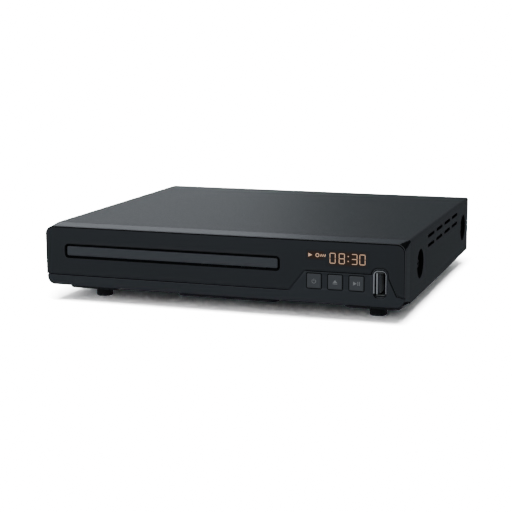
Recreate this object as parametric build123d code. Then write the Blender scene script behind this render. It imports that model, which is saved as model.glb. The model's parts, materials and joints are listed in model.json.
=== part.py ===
from build123d import *
import os
from math import acos, atan2, cos, degrees, hypot, pi, radians, sin, tan

# A compact disc player with a motor-driven tray, in millimetres.
# The front faces -Y, +X is to the right seen from the front and +Z is up.
# The origin is on the table, under the middle of the outline.

# Case. Its width is the loader's with a gap on the left and a bay for the controls on the right,
# and its depth is the loader's with a bay for the sockets behind it.
loader_side_gap = 11.3
control_bay = 71.7
rear_bay = 31.9
body_height = 36.8
foot_height = 12.0
jack_reach = 8.0
cover_sheet = 0.8
chassis_sheet = 1.0
panel_sheet = 0.8
cover_bend = 1.5
sheet_gap = 0.2

# Front bezel and front plate
bezel_depth = 15.0
bezel_wall = 2.2
brow_drop = 0.3
face_corner = 5.0
plate_thickness = 2.0
backing_wall = 1.6
tongue_wall = 1.5
tongue_length = 5.0
panel_recess = 0.5
groove_width = 0.5
groove_height = 6.8
panel_height = 18.7
panel_foot_left_inset = 68.0
panel_left_inset = 58.7
panel_right_inset = 10.0
panel_foot_right_inset = 4.4
edge_height = 6.0

# Tray door and its slot in the front
door_width = 135.8
door_height = 5.8
door_bottom = 18.7
door_thickness = 3.7
door_gap = 0.9
door_corner = 1.0
door_recess = 0.3

# Buttons
button_size = 8.4
button_corner = 0.6
button_inset = 52.9
button_pitch = 12.55
button_height = 12.7
button_count = 3
button_stand = 0.4
button_gap = 0.2
button_travel = 0.5
flange_lip = 0.7
flange_thickness = 1.0
stem_radius = 1.5
switch_size = 6.0
switch_depth = 3.5
plunger_radius = 1.7
plunger_stand = 0.8

# Upright USB port
usb_inset = 14.25
usb_height = 13.0
usb_mouth_width = 7.7
usb_mouth_height = 16.3
usb_mouth_corner = 2.8
usb_mouth_depth = 1.4
usb_rim = 1.0
usb_inner_width = 5.1
usb_inner_height = 12.5
usb_shell_sheet = 0.3
usb_tongue_thickness = 1.8
usb_tongue_height = 11.2
usb_tongue_setback = 1.0
usb_tongue_side_gap = 0.6
usb_base_length = 2.0

# Front board, display and receiver
board_sheet = 1.6
front_board_setback = 14.0
front_board_left_inset = 62.5
front_board_right_inset = 5.5
front_board_bottom = 4.0
front_board_drop = 2.8
display_inset = 39.0
display_drop = 10.2
display_width = 38.0
display_tall = 10.4
window_margin = 0.5
receiver_inset = 12.5
receiver_drop = 8.8
receiver_radius = 2.0

# Side recesses, vents and rear lip of the cover
recess_radius = 8.75
recess_floor_radius = 7.4
recess_depth = 3.0
recess_height = 18.4
recess_setback = 41.5
recess_rear_inset = 19.5
vent_length = 19.0
vent_width = 2.0
vent_heights = (25.2, 31.0)
vent_setback = 72.3
vent_pitch = 25.4
vent_count = 4
lip_height = 9.0

# Chassis
flange_height = 7.0
tab_width = 14.0
pad_depth = 5.0
pad_size = 33.0
pad_draft = 1.0
pad_corner = 4.0
centre_pad_width = 64.0
foot_inset = 23.0
foot_setback = 33.0
foot_rear_inset = 32.5
foot_radius = 5.0
foot_neck_radius = 2.0
standoff_height = 4.0
standoff_radius = 3.0

# Screws
screw_radius = 1.4
screw_head_radius = 2.9
screw_head_height = 1.5
screw_play = 0.2
thread_gap = 0.05

# Disc and tray
disc_diameter = 120.0
disc_play = 0.8
disc_setback = 68.0
small_disc_diameter = 80.0
tray_side = 5.2
tray_bottom_gap = 0.5
tray_rib = 2.0
tray_floor = 1.9
recess_tray_depth = 2.4
small_recess_depth = 0.8
tray_slot_half = 20.0
rib_thickness = 3.0
tray_overlap = 6.0

# Loader frame
slide_gap = 0.3
deck_thickness = 2.0
loader_wall = 2.0
loader_margin = 3.0
loader_setback = 12.5
loader_rear_gap = 4.0
window_half = 44.0
window_front_setback = 47.5
window_rear_margin = 7.0
retainer_width = 12.0
retainer_thickness = 1.5
post_radius = 3.5
post_inset = 16.0
post_setback = 40.0

# Tray gears (involute, one module)
gear_module = 0.8
gear_backlash = 0.2
pressure_angle = 20.0
tip_share = 0.85
root_share = 1.15
rack_gear_teeth = 20
large_gear_teeth = 28
pinion_teeth = 12
rack_gear_x = 40.0
rack_gear_setback = 26.0
gear_plate_z = 18.4
gear_plate_thickness = 2.0
gear_gap = 0.8
large_gear_width = 2.6
gear_pin_radius = 1.5
running_gap = 0.1
pulley_radius = 12.5
pulley_groove = 1.5
pulley_height = 2.8
motor_pulley_radius = 4.0
belt_thickness = 1.2
belt_gap = 0.1
belt_span = 32.0
motor_radius = 11.0
motor_shaft_radius = 1.0
shelf_thickness = 2.0

# Disc clamp
turntable_seat = 0.8
turntable_radius = 15.0
turntable_rim = 1.4
hub_radius = 7.4
hub_height = 1.6
spindle_radius = 4.0
bridge_sheet = 1.4
bridge_length = 33.0
puck_radius = 14.0
puck_neck_radius = 11.3
puck_disc = 1.0
puck_gap = 0.4

# Lift frame, traverse and sled
lift_angle = 3.5
lift_front_gap = 2.0
lift_bar = 5.0
lift_bottom = 20.0
lift_thickness = 3.0
lift_half = 41.0
pivot_radius = 1.5
pivot_fit = 0.05
lift_pin_z = 23.2
cam_travel = 25.0
cam_thickness = 3.0
cam_setback = 43.5
cam_pin_gap = 0.3
damper_height = 2.5
damper_radius = 3.4
traverse_sheet = 1.8
traverse_half = 34.0
spindle_motor_radius = 13.0
spindle_motor_height = 5.9
rod_radius = 1.5
rod_offset = 23.5
rod_drop = 2.5
lug_length = 2.5
lug_half = 2.8
damper_setbacks = (58.0, 124.0)
pickup_travel = 34.0
pickup_gap = 3.0
pickup_half = 18.0
pickup_length = 24.0
pickup_height = 8.0
lens_radius = 3.6
lens_setback = 24.0
sled_screw_offset = 31.0
sled_screw_radius = 1.5
sled_screw_pitch = 3.0
sled_motor_radius = 4.5
sled_journal_radius = 0.8
sled_motor_length = 11.5

# Boards and sockets
board_left_gap = 5.0
board_side_gap = 1.0
board_front_setback = 60.0
board_rear_gap = 4.0
board_inset = 0.6
board_strip_gap = 5.0
scart_left_margin = 7.0
scart_inset = 102.5
scart_width = 50.0
scart_height = 15.5
scart_depth = 17.0
scart_wall = 1.5
scart_channel = 2.0
scart_channel_depth = 9.0
scart_slot_depth = 7.0
scart_slot_length = 2.4
scart_slot_height = 1.0
scart_slot_pitch = 4.0
scart_slot_columns = 10
scart_row_offset = 2.1
hdmi_inset = 62.5
hdmi_width = 15.2
hdmi_height = 6.0
hdmi_depth = 11.5
hdmi_wall = 0.4
hdmi_floor = 0.5
hdmi_slant = 1.6
hdmi_rise = 2.2
hdmi_tongue_width = 11.9
hdmi_tongue_height = 1.2
hdmi_tongue_offset = 0.4
socket_back = 1.0
jack_inset = 42.5
jack_pitch = 14.0
jack_count = 3
jack_block = 11.0
jack_radius = 4.1
jack_bore_radius = 1.6
inlet_inset = 24.5
inlet_width = 24.0
inlet_height = 15.0
inlet_depth = 17.0
inlet_mouth_width = 17.0
inlet_mouth_height = 9.4
inlet_cavity_depth = 13.0
inlet_pin_pitch = 8.6
inlet_pin_radius = 1.2
socket_gap = 0.3

# Places on the boards, as shares of a board's width and length
processor_place = (0.43, 0.35)
memory_place = (0.43, 0.525)
flash_place = (0.78, 0.35)
driver_place = (0.3, 0.175)
regulator_place = (0.7, 0.175)
ribbon_row = 0.03
pickup_row = 0.22
motor_row = 0.4
middle_post_row = 0.62
power_post_place = (0.49, 0.19)
bulk_capacitor_place = (0.49, 0.635)
small_capacitor_place = (0.92, 0.52)
filter_capacitor_places = ((0.9, 0.175), (0.9, 0.24))
output_capacitor_places = ((0.9, 0.785), (0.76, 0.785))
rail_capacitor_place = (0.2, 0.785)
transformer_place = (0.72, 0.64)
heatsink_place = (0.72, 0.05)
fuse_row = 0.17

# Components on the boards
processor_size = 20.0
processor_height = 1.6
memory_width = 18.0
memory_length = 10.0
memory_height = 1.2
driver_width = 7.5
driver_length = 12.8
driver_height = 2.0
regulator_size = 6.5
regulator_height = 2.2
plug_width = 4.6
plug_length = 8.0
plug_height = 5.0
plug_inset = 3.7
plug_row_setback = 5.2
connector_depth = 3.0
connector_height = 4.0
ribbon_inset = 34.5
ribbon_width = 16.0
ribbon_sheet = 0.4
ribbon_margin = 3.0
ribbon_rise = 6.0
ribbon_hump = 7.0
ribbon_low = 2.0
ribbon_bend = 4.0
bulk_capacitor_radius = 6.5
bulk_capacitor_height = 20.0
filter_capacitor_radius = 3.1
filter_capacitor_height = 8.0
small_capacitor_radius = 2.5
small_capacitor_height = 7.0
rail_capacitor_radius = 4.0
rail_capacitor_height = 10.0
transformer_width = 20.0
transformer_core = 6.0
transformer_height = 17.0
bobbin_width = 13.0
bobbin_length = 15.0
bobbin_height = 15.0
heatsink_width = 18.0
heatsink_sheet = 1.5
heatsink_height = 16.0
transistor_width = 10.0
transistor_sheet = 3.7
transistor_height = 14.0
fuse_length = 20.0
fuse_radius = 2.3
fuse_cap_radius = 2.6
fuse_cap_length = 5.0
fuse_clip_length = 5.8
fuse_clip_width = 3.0
fuse_height = 3.4
wire_radius = 0.6
wire_pitch = 1.8
wire_count = 4
wire_inset = 1.4

# Disc, tray and loader widths and lengths
tray_recess_radius = disc_diameter / 2 + disc_play
tray_half = tray_recess_radius + tray_side
loader_inner = tray_half + loader_margin
loader_outer = loader_inner + loader_wall
tray_travel = disc_setback + tray_recess_radius + disc_play
loader_rear_setback = rack_gear_setback + tray_travel + tray_overlap + loader_rear_gap + loader_wall

# Planes of the case
body_width = 2 * loader_outer + loader_side_gap + control_bay
body_depth = loader_rear_setback + rear_bay
half_width = body_width / 2
front_y = -(body_depth + jack_reach) / 2
back_y = front_y + body_depth
seam_y = front_y + bezel_depth
base_z = foot_height
top_z = base_z + body_height
mid_z = base_z + body_height / 2
display_z = top_z - display_drop
receiver_z = top_z - receiver_drop
plate_back_y = front_y + plate_thickness
wall_back_y = plate_back_y + backing_wall
floor_z = base_z + chassis_sheet
panel_out_y = back_y - cover_sheet
panel_in_y = panel_out_y - panel_sheet
inner_half = half_width - cover_sheet - sheet_gap
inner_top_z = top_z - cover_sheet - sheet_gap
tab_x = half_width - recess_depth - cover_sheet
pad_low_z = base_z - pad_depth
recess_setbacks = (recess_setback, body_depth - recess_rear_inset)
foot_x = half_width - foot_inset
foot_rear_setback = body_depth - foot_rear_inset

# Places across the front, from the right side, and of the loader, from the left side
tray_x = loader_outer + loader_side_gap - half_width
panel_foot_left = half_width - panel_foot_left_inset
panel_left = half_width - panel_left_inset
panel_right = half_width - panel_right_inset
panel_foot_right = half_width - panel_foot_right_inset
button_x = half_width - button_inset
usb_x = half_width - usb_inset
display_x = half_width - display_inset
receiver_x = half_width - receiver_inset
front_board_left = half_width - front_board_left_inset
front_board_right = half_width - front_board_right_inset
ribbon_x = half_width - ribbon_inset

# Tray and loader levels
door_bottom_z = base_z + door_bottom
slot_bottom_z = door_bottom_z - door_gap
tray_bottom_z = slot_bottom_z + tray_bottom_gap
tray_floor_z = tray_bottom_z + tray_rib
tray_seat_z = tray_floor_z + tray_floor
tray_top_z = tray_seat_z + recess_tray_depth
deck_top_z = tray_bottom_z - slide_gap
deck_bottom_z = deck_top_z - deck_thickness
disc_y = front_y + disc_setback
tray_front_y = front_y + door_recess + door_thickness
rack_gear_y = front_y + rack_gear_setback
tray_rear_y = rack_gear_y + tray_travel + tray_overlap
loader_front_y = front_y + loader_setback
loader_rear_y = front_y + loader_rear_setback
retainer_z = tray_top_z + slide_gap
loader_top_z = retainer_z + retainer_thickness
post_x = loader_inner - post_inset - post_radius

# Traverse levels
seat_z = tray_seat_z + turntable_seat
hub_top_z = seat_z + hub_height
lift_top_z = lift_bottom + lift_thickness
traverse_z = lift_top_z + damper_height
traverse_top_z = traverse_z + traverse_sheet
lift_pivot_z = lift_bottom + lift_thickness / 2
lift_front_y = front_y + window_front_setback + lift_front_gap
pickup_y = disc_y + spindle_motor_radius + pickup_gap
lug_front_y = disc_y + spindle_motor_radius - lift_thickness / 2
rod_rear_y = pickup_y + pickup_length + pickup_travel + 2 * running_gap
lift_pivot_y = rod_rear_y + lug_length + lift_bar
window_rear_y = lift_pivot_y + window_rear_margin - lift_bar / 2
rod_z = traverse_z - rod_drop

# Gear levels
rack_gear_radius = gear_module * rack_gear_teeth / 2
large_gear_radius = gear_module * large_gear_teeth / 2
pinion_radius = gear_module * pinion_teeth / 2
tray_gear_x = tray_x + rack_gear_x
rack_x = tray_gear_x + rack_gear_radius
pulley_x = tray_gear_x - large_gear_radius - pinion_radius
motor_x = pulley_x - belt_span
gear_top_z = gear_plate_z + gear_plate_thickness
large_gear_z = gear_top_z + gear_gap
pulley_z = large_gear_z + large_gear_width + gear_gap
pulley_top_z = pulley_z + pulley_height
shelf_z = pulley_z - sheet_gap - shelf_thickness

# Boards
board_z = floor_z + standoff_height
board_top_z = board_z + board_sheet
board_left = tray_x + loader_outer + board_left_gap
board_right = tab_x - 2 * chassis_sheet - board_side_gap
board_rear_y = panel_in_y - board_inset
strip_front_y = loader_rear_y + board_rear_gap
board_front_y = front_y + board_front_setback
front_board_y = front_y + front_board_setback
scart_x = half_width - scart_inset
hdmi_x = half_width - hdmi_inset
jack_x = half_width - jack_inset
inlet_x = inlet_inset - half_width
main_board_rear_left = scart_x - scart_width / 2 - scart_left_margin
power_board_left = -board_right
power_board_right = main_board_rear_left - board_strip_gap


def span(middle, width):
    """The (low, high) span of a width about its middle."""
    return (middle - width / 2, middle + width / 2)


def block(x, y, z):
    """A box that fills three (low, high) spans."""
    middle = [(low + high) / 2 for low, high in (x, y, z)]
    size = [high - low for low, high in (x, y, z)]
    return Pos(*middle) * Box(*size)


def upright(radius, x, y, z):
    """A round rod along Z over the span z."""
    ends = (Align.CENTER, Align.CENTER, Align.MIN)
    return Pos(x, y, z[0]) * Cylinder(radius, z[1] - z[0], align=ends)


def lengthwise(radius, x, y, z):
    """A round rod along Y over the span y."""
    ends = (Align.CENTER, Align.CENTER, Align.MIN)
    return Pos(x, y[0], z) * Rot(-90, 0, 0) * Cylinder(radius, y[1] - y[0], align=ends)


def crosswise(radius, x, y, z):
    """A round rod along X over the span x."""
    ends = (Align.CENTER, Align.CENTER, Align.MIN)
    return Pos(x[0], y, z) * Rot(0, 90, 0) * Cylinder(radius, x[1] - x[0], align=ends)


def facing(y):
    """A sketch plane at depth y that looks out of the front: its x is +X and its y is +Z."""
    return Plane(origin=(0, y, 0), x_dir=(1, 0, 0), z_dir=(0, -1, 0))


def slab(outline, y):
    """An outline drawn from the front, as a slab over the span y."""
    return extrude(facing(y[1]) * outline, amount=y[1] - y[0])


def plaque(outline, z):
    """An outline drawn from above, as a plate over the span z."""
    return extrude(Pos(0, 0, z[0]) * outline, amount=z[1] - z[0])


def save(name, shape):
    """Write one piece to its own file."""
    shape.label = name
    export_step(shape, f"parts/{name}.step")


def joined(pieces):
    """Fuse a list of shapes, or gather them where they don't touch."""
    whole = pieces[0]
    for piece in pieces[1:]:
        whole = whole + piece
    return whole


# Front


def face_outline(corner, drop=0.0):
    """The case seen from the front."""
    height = body_height - drop
    return Pos(0, base_z + height / 2) * RectangleRounded(body_width, height, corner)


def control_region():
    """Everything under the groove, the slanted ends and the top line of the control panel."""
    line = [
        (-body_width, base_z - body_height),
        (body_width, base_z - body_height),
        (body_width, base_z + edge_height),
        (half_width, base_z + edge_height),
        (panel_foot_right, base_z + groove_height),
        (panel_right, base_z + panel_height),
        (panel_left, base_z + panel_height),
        (panel_foot_left, base_z + groove_height),
        (-body_width, base_z + groove_height),
    ]
    return make_face(Polyline(*line, close=True))


def usb_outline(rim):
    """The upright mouth of the USB port, grown by a rim."""
    size = (usb_mouth_width + 2 * rim, usb_mouth_height + 2 * rim)
    return Pos(usb_x, base_z + usb_height) * RectangleRounded(*size, usb_mouth_corner + rim)


def slot_outline():
    """The slot that the tray comes out of."""
    size = (door_width + 2 * door_gap, door_height + 2 * door_gap)
    return Pos(tray_x, door_bottom_z + door_height / 2) * RectangleRounded(*size, door_corner)


def window_outline():
    """The opening behind the front plate for the display module."""
    size = (display_width + 2 * window_margin, display_tall + 2 * window_margin)
    return Pos(display_x, display_z) * Rectangle(*size)


def button_place(index):
    """The middle of a button, seen from the front."""
    return (button_x + index * button_pitch, base_z + button_height)


def button_outline(index, grow):
    """The outline of a button, grown by a gap."""
    size = button_size + 2 * grow
    return Pos(*button_place(index)) * RectangleRounded(size, size, button_corner + grow)


def front_plate():
    """The dark plate over the upper face, with the tray slot."""
    outline = face_outline(face_corner, brow_drop) - control_region()
    outline = outline - usb_outline(usb_rim + groove_width / 2) - slot_outline()
    return slab(outline, (front_y, plate_back_y))


def front_bezel():
    """The moulded bezel: a deep frame, a backing wall and the raised control panel."""
    face = facing(plate_back_y) * face_outline(face_corner, brow_drop)
    seam = facing(seam_y) * face_outline(cover_bend)
    body = loft([face, seam], ruled=True)
    hollow_x = (bezel_wall - half_width, half_width - bezel_wall)
    hollow_z = (base_z + bezel_wall, top_z - brow_drop - bezel_wall)
    body = body - block(hollow_x, (wall_back_y, seam_y), hollow_z)
    panel = face_outline(face_corner, brow_drop) & offset(control_region(), amount=-groove_width)
    panel = panel + usb_outline(usb_rim)
    body = body + slab(panel, (front_y + panel_recess, wall_back_y))
    body = body + bezel_tongue()
    through = (front_y, wall_back_y)
    body = body - slab(slot_outline(), through) - slab(window_outline(), through)
    for index in range(button_count):
        body = body - slab(button_outline(index, button_gap), through)
    eye = Pos(receiver_x, receiver_z) * Circle(receiver_radius + door_gap)
    body = body - slab(eye, through)
    mouth_end = front_y + panel_recess + usb_mouth_depth
    body = body - slab(usb_outline(0), (front_y, mouth_end))
    shell_x = span(usb_x, usb_inner_width + 2 * usb_shell_sheet + 2 * sheet_gap)
    shell_z = span(base_z + usb_height, usb_inner_height + 2 * usb_shell_sheet + 2 * sheet_gap)
    return body - block(shell_x, through, shell_z)


def bezel_tongue():
    """The rim that slides under the cover and over the chassis."""
    width = 2 * inner_half
    height = inner_top_z - floor_z
    middle = Pos(0, (inner_top_z + floor_z) / 2)
    corner = cover_bend - cover_sheet / 2
    ring = middle * RectangleRounded(width, height, corner)
    inside = (width - 2 * tongue_wall, height - 2 * tongue_wall)
    ring = ring - middle * Rectangle(*inside)
    return slab(ring, (seam_y - tongue_wall, seam_y + tongue_length))


def tray_door():
    """The strip on the front of the tray."""
    outline = Pos(tray_x, door_bottom_z + door_height / 2)
    outline = outline * RectangleRounded(door_width, door_height, door_corner)
    return slab(outline, (front_y + door_recess, tray_front_y))


def button(index):
    """A square cap with a flange behind the bezel and a stem to the switch."""
    x, z = button_place(index)
    cap_y = front_y + panel_recess - button_stand
    flange_y = wall_back_y + button_gap
    cap = slab(button_outline(index, 0), (cap_y, flange_y))
    cap = cap + slab(button_outline(index, flange_lip), (flange_y, flange_y + flange_thickness))
    return cap + lengthwise(stem_radius, x, (flange_y, plunger_y()), z)


def plunger_y():
    """The front end of a switch's plunger."""
    return front_board_y - switch_depth - plunger_stand


def plunger(index):
    """The round plunger of a tact switch."""
    x, z = button_place(index)
    start = plunger_y()
    return lengthwise(plunger_radius, x, (start, start + 2 * plunger_stand), z)


def switch(index):
    """The body of a tact switch, with the well that its plunger sinks into."""
    x, z = button_place(index)
    face_y = front_board_y - switch_depth
    body = block(span(x, switch_size), (face_y, front_board_y), span(z, switch_size))
    well_end = plunger_y() + 2 * plunger_stand + button_travel + running_gap
    return body - lengthwise(plunger_radius + running_gap, x, (face_y, well_end), z)


def front_board():
    """The upright board behind the bezel."""
    x = (front_board_left, front_board_right)
    z = (base_z + front_board_bottom, top_z - front_board_drop)
    return block(x, (front_board_y, front_board_y + board_sheet), z)


def display_module():
    """The numeric display between the front plate and the board."""
    y = (plate_back_y + sheet_gap, front_board_y)
    return block(span(display_x, display_width), y, span(display_z, display_tall))


def ir_receiver():
    """The remote control receiver: a block with a round lens, on the board beside the display."""
    z = receiver_z
    face_y = front_board_y - 2 * receiver_radius
    x_span = span(receiver_x, 2.5 * receiver_radius)
    body = block(x_span, (face_y, front_board_y), span(z, 3 * receiver_radius))
    return body + Pos(receiver_x, face_y, z) * Sphere(receiver_radius)


def usb_shell():
    """The folded metal shell of the port."""
    wide = usb_inner_width + 2 * usb_shell_sheet
    tall = usb_inner_height + 2 * usb_shell_sheet
    middle_z = base_z + usb_height
    y = (front_y + panel_recess + usb_mouth_depth, front_board_y)
    shell = block(span(usb_x, wide), y, span(middle_z, tall))
    inside = (y[0], y[1] - usb_shell_sheet)
    return shell - block(span(usb_x, usb_inner_width), inside, span(middle_z, usb_inner_height))


def usb_tongue():
    """The contact tongue, off centre in the shell, with its base block."""
    middle_z = base_z + usb_height
    rear = front_board_y - usb_shell_sheet
    start = front_y + panel_recess + usb_mouth_depth + usb_tongue_setback
    low_x = usb_x - usb_inner_width / 2 + usb_tongue_side_gap
    blade_x = (low_x, low_x + usb_tongue_thickness)
    blade = block(blade_x, (start, rear), span(middle_z, usb_tongue_height))
    base_x = span(usb_x, usb_inner_width - 2 * running_gap)
    base_z_span = span(middle_z, usb_inner_height - 2 * running_gap)
    return blade + block(base_x, (rear - usb_base_length, rear), base_z_span)


# Case


def cover_dish(side, y):
    """The sheet of a pressed screw recess, turned about its own axis and set into one side."""
    rim = recess_radius + cover_sheet
    floor = recess_depth + cover_sheet
    line = [
        (recess_radius, 0),
        (recess_floor_radius, recess_depth),
        (screw_radius + screw_play, recess_depth),
        (screw_radius + screw_play, floor),
        (recess_floor_radius + cover_sheet, floor),
        (rim, cover_sheet),
        (rim, 0),
    ]
    profile = Plane.XZ * make_face(Polyline(*line, close=True))
    dish = revolve(profile, Axis.Z)
    turn = Rot(0, -90 * side, 0)
    return Pos(side * half_width, y, base_z + recess_height) * turn * dish


def vent_row(side, z):
    """The cutters of one row of vent slots, set into one side."""
    wall = Plane(origin=(side * half_width, 0, z), x_dir=(0, 1, 0), z_dir=(side, 0, 0))
    cutters = []
    for index in range(vent_count):
        y = front_y + vent_setback + index * vent_pitch
        slot = wall * Pos(y, 0) * SlotOverall(vent_length, vent_width)
        cutters.append(extrude(slot, amount=cover_sheet * 2, both=True))
    return cutters


def top_cover():
    """The folded steel cover: a roof, two sides and a short lip at the rear."""
    lower_half = Pos(0, (base_z + mid_z) / 2) * Rectangle(body_width, body_height / 2)
    outer = slab(face_outline(cover_bend) + lower_half, (seam_y, back_y))
    width = body_width - 2 * cover_sheet
    height = body_height
    inside = Pos(0, mid_z - cover_sheet) * RectangleRounded(width, height, cover_bend - cover_sheet)
    shell = outer - slab(inside, (seam_y, back_y))
    lip_width = width - 2 * sheet_gap
    lip_z = (top_z - cover_sheet - lip_height, top_z - cover_sheet / 2)
    shell = shell + block(span(0, lip_width), (panel_out_y, back_y), lip_z)
    for x in rear_screw_places():
        shell = shell - lengthwise(screw_radius + screw_play, x, (panel_out_y, back_y), rear_screw_z())
    for side in (-1, 1):
        for z in vent_heights:
            for cutter in vent_row(side, base_z + z):
                shell = shell - cutter
        for setback in recess_setbacks:
            y = front_y + setback
            x = (side * (half_width - cover_sheet * 2), side * (half_width + cover_sheet))
            radius = recess_radius + cover_sheet / 2
            shell = shell - crosswise(radius, sorted(x), y, base_z + recess_height)
            shell = shell + cover_dish(side, y)
    return shell


def rear_screw_places():
    """Where the screws sit along the rear lip."""
    return (-half_width + lip_height, 0, half_width - lip_height)


def rear_screw_z():
    """The height of the screws in the rear lip."""
    return top_z - cover_sheet - lip_height / 2


def pressed_pad(x, y, width, length):
    """A shallow pressed dish in the chassis floor, and the cutter that hollows it."""
    low_z = pad_low_z
    wide = 2 * pad_draft
    high = Pos(x, y, base_z) * RectangleRounded(width + wide, length + wide, pad_corner)
    low = Pos(x, y, low_z) * RectangleRounded(width, length, pad_corner)
    outside = loft([low, high], ruled=True)
    sheet = 2 * chassis_sheet
    corner = pad_corner - chassis_sheet
    upper = Pos(x, y, floor_z) * RectangleRounded(width + wide - sheet, length + wide - sheet, corner)
    lower = Pos(x, y, low_z + chassis_sheet) * RectangleRounded(width - sheet, length - sheet, corner)
    return outside, loft([lower, upper], ruled=True)


def floor_under(x, y):
    """The height of the chassis floor at a place: lower inside a pressed pad."""
    for pad_x, pad_y, width in pressed_pads():
        if abs(x - pad_x) < width / 2 and abs(y - pad_y) < pad_size / 2:
            return pad_low_z + chassis_sheet
    return floor_z


def pressed_pads():
    """The middle and width of each pressed pad: one for each foot and one between the front feet."""
    pads = [(x, y, pad_size) for x, y in foot_places().values()]
    pads.append((0, front_y + foot_setback, centre_pad_width))
    return pads


def foot_places():
    """The four feet: front left, front right, rear left and rear right."""
    front = front_y + foot_setback
    rear = front_y + foot_rear_setback
    return {
        "front_left": (-foot_x, front),
        "front_right": (foot_x, front),
        "rear_left": (-foot_x, rear),
        "rear_right": (foot_x, rear),
    }


def bottom_chassis():
    """The folded steel tray that carries everything, with pressed pads for the feet."""
    plate = block((-inner_half, inner_half), (seam_y, panel_in_y), (base_z, floor_z))
    for x, y, width in pressed_pads():
        dish, hollow = pressed_pad(x, y, width, pad_size)
        plate = plate + dish - hollow
    flange_y = (seam_y + tongue_length + sheet_gap, panel_in_y)
    for side in (-1, 1):
        flange_x = sorted((side * inner_half, side * (inner_half - chassis_sheet)))
        plate = plate + block(flange_x, flange_y, (base_z, floor_z + flange_height))
        for setback in recess_setbacks:
            y = front_y + setback
            ear_x = sorted((side * tab_x, side * (tab_x - chassis_sheet)))
            ear_top = base_z + recess_height + tab_width / 2
            ear = block(ear_x, span(y, tab_width), (base_z, ear_top))
            bore = crosswise(screw_radius + thread_gap, ear_x, y, base_z + recess_height)
            plate = plate + ear - bore
    for x, y in foot_places().values():
        plate = plate - upright(foot_neck_radius + running_gap, x, y, (pad_low_z, floor_z))
    for x, y in loader_posts():
        plate = plate - upright(screw_radius + screw_play, x, y, (pad_low_z, floor_z))
    for x, y in board_posts():
        post = upright(standoff_radius, x, y, (base_z, board_z))
        plate = plate + post - upright(screw_radius + thread_gap, x, y, (base_z, board_z))
    for slot in floor_vents():
        plate = plate - slot
    return plate


def floor_vents():
    """Cutters for the row of slots under the main board."""
    low = board_left + standoff_radius * 3
    cutters = []
    for index in range(vent_count):
        x = low + index * vent_width * 4
        outline = Pos(x, board_front_y + vent_length * 1.5) * SlotOverall(vent_length, vent_width, 90)
        cutters.append(plaque(outline, (base_z, floor_z)))
    return cutters


def foot(x, y):
    """A rubber foot with a neck through the pad and a bead above it."""
    pad_z = pad_low_z
    body = upright(foot_radius, x, y, (0, pad_z))
    body = fillet(body.edges().sort_by(Axis.Z)[0], foot_neck_radius / 3)
    neck = upright(foot_neck_radius, x, y, (pad_z, pad_z + chassis_sheet + running_gap))
    bead_z = pad_z + chassis_sheet + running_gap
    bead = upright(foot_neck_radius * 1.5, x, y, (bead_z, bead_z + foot_neck_radius))
    return body + neck + bead


def rear_panel():
    """The flat rear panel with its sockets' openings and a flange on the chassis floor."""
    z = (base_z, inner_top_z)
    panel = block((-inner_half, inner_half), (panel_in_y, panel_out_y), z)
    for x_span, z_span in socket_openings():
        panel = panel - block(x_span, (panel_in_y, panel_out_y), z_span)
    for index in range(jack_count):
        x = jack_x + index * jack_pitch
        panel = panel - lengthwise(jack_radius + socket_gap, x, (panel_in_y, panel_out_y), jack_z())
    for x in rear_screw_places():
        bore_y = (panel_in_y, panel_out_y)
        panel = panel - lengthwise(screw_radius + thread_gap, x, bore_y, rear_screw_z())
    return panel


def socket_openings():
    """The rectangular openings of the rear panel, as spans in X and Z."""
    sockets = (
        (scart_x, scart_width, scart_height),
        (hdmi_x, hdmi_width, hdmi_height),
        (inlet_x, inlet_width, inlet_height),
    )
    low = board_top_z - socket_gap
    openings = []
    for x, width, height in sockets:
        openings.append((span(x, width + 2 * socket_gap), (low, board_top_z + height + socket_gap)))
    return openings


def screw_outward(side, y, z):
    """A cover screw with its head on the floor of a side recess."""
    seat = half_width - recess_depth
    head_x = sorted((side * seat, side * (seat + screw_head_height)))
    head = crosswise(screw_head_radius, head_x, y, z)
    end = tab_x - chassis_sheet * 2
    shank = crosswise(screw_radius, sorted((side * end, side * seat)), y, z)
    return head + shank


def case_screws():
    """Four screws in the side recesses and three in the rear lip."""
    screws = []
    for side in (-1, 1):
        for setback in recess_setbacks:
            screws.append(screw_outward(side, front_y + setback, base_z + recess_height))
    for x in rear_screw_places():
        head_y = (back_y, back_y + screw_head_height)
        head = lengthwise(screw_head_radius, x, head_y, rear_screw_z())
        shank_y = (panel_in_y - screw_head_height, back_y)
        screws.append(head + lengthwise(screw_radius, x, shank_y, rear_screw_z()))
    return joined(screws)


# Loader


def loader_posts():
    """The four screwed posts of the loader frame."""
    rear = tray_rear_y - loader_rear_gap
    front = front_y + post_setback
    return [(tray_x + side * post_x, y) for side in (-1, 1) for y in (front, rear)]


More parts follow.
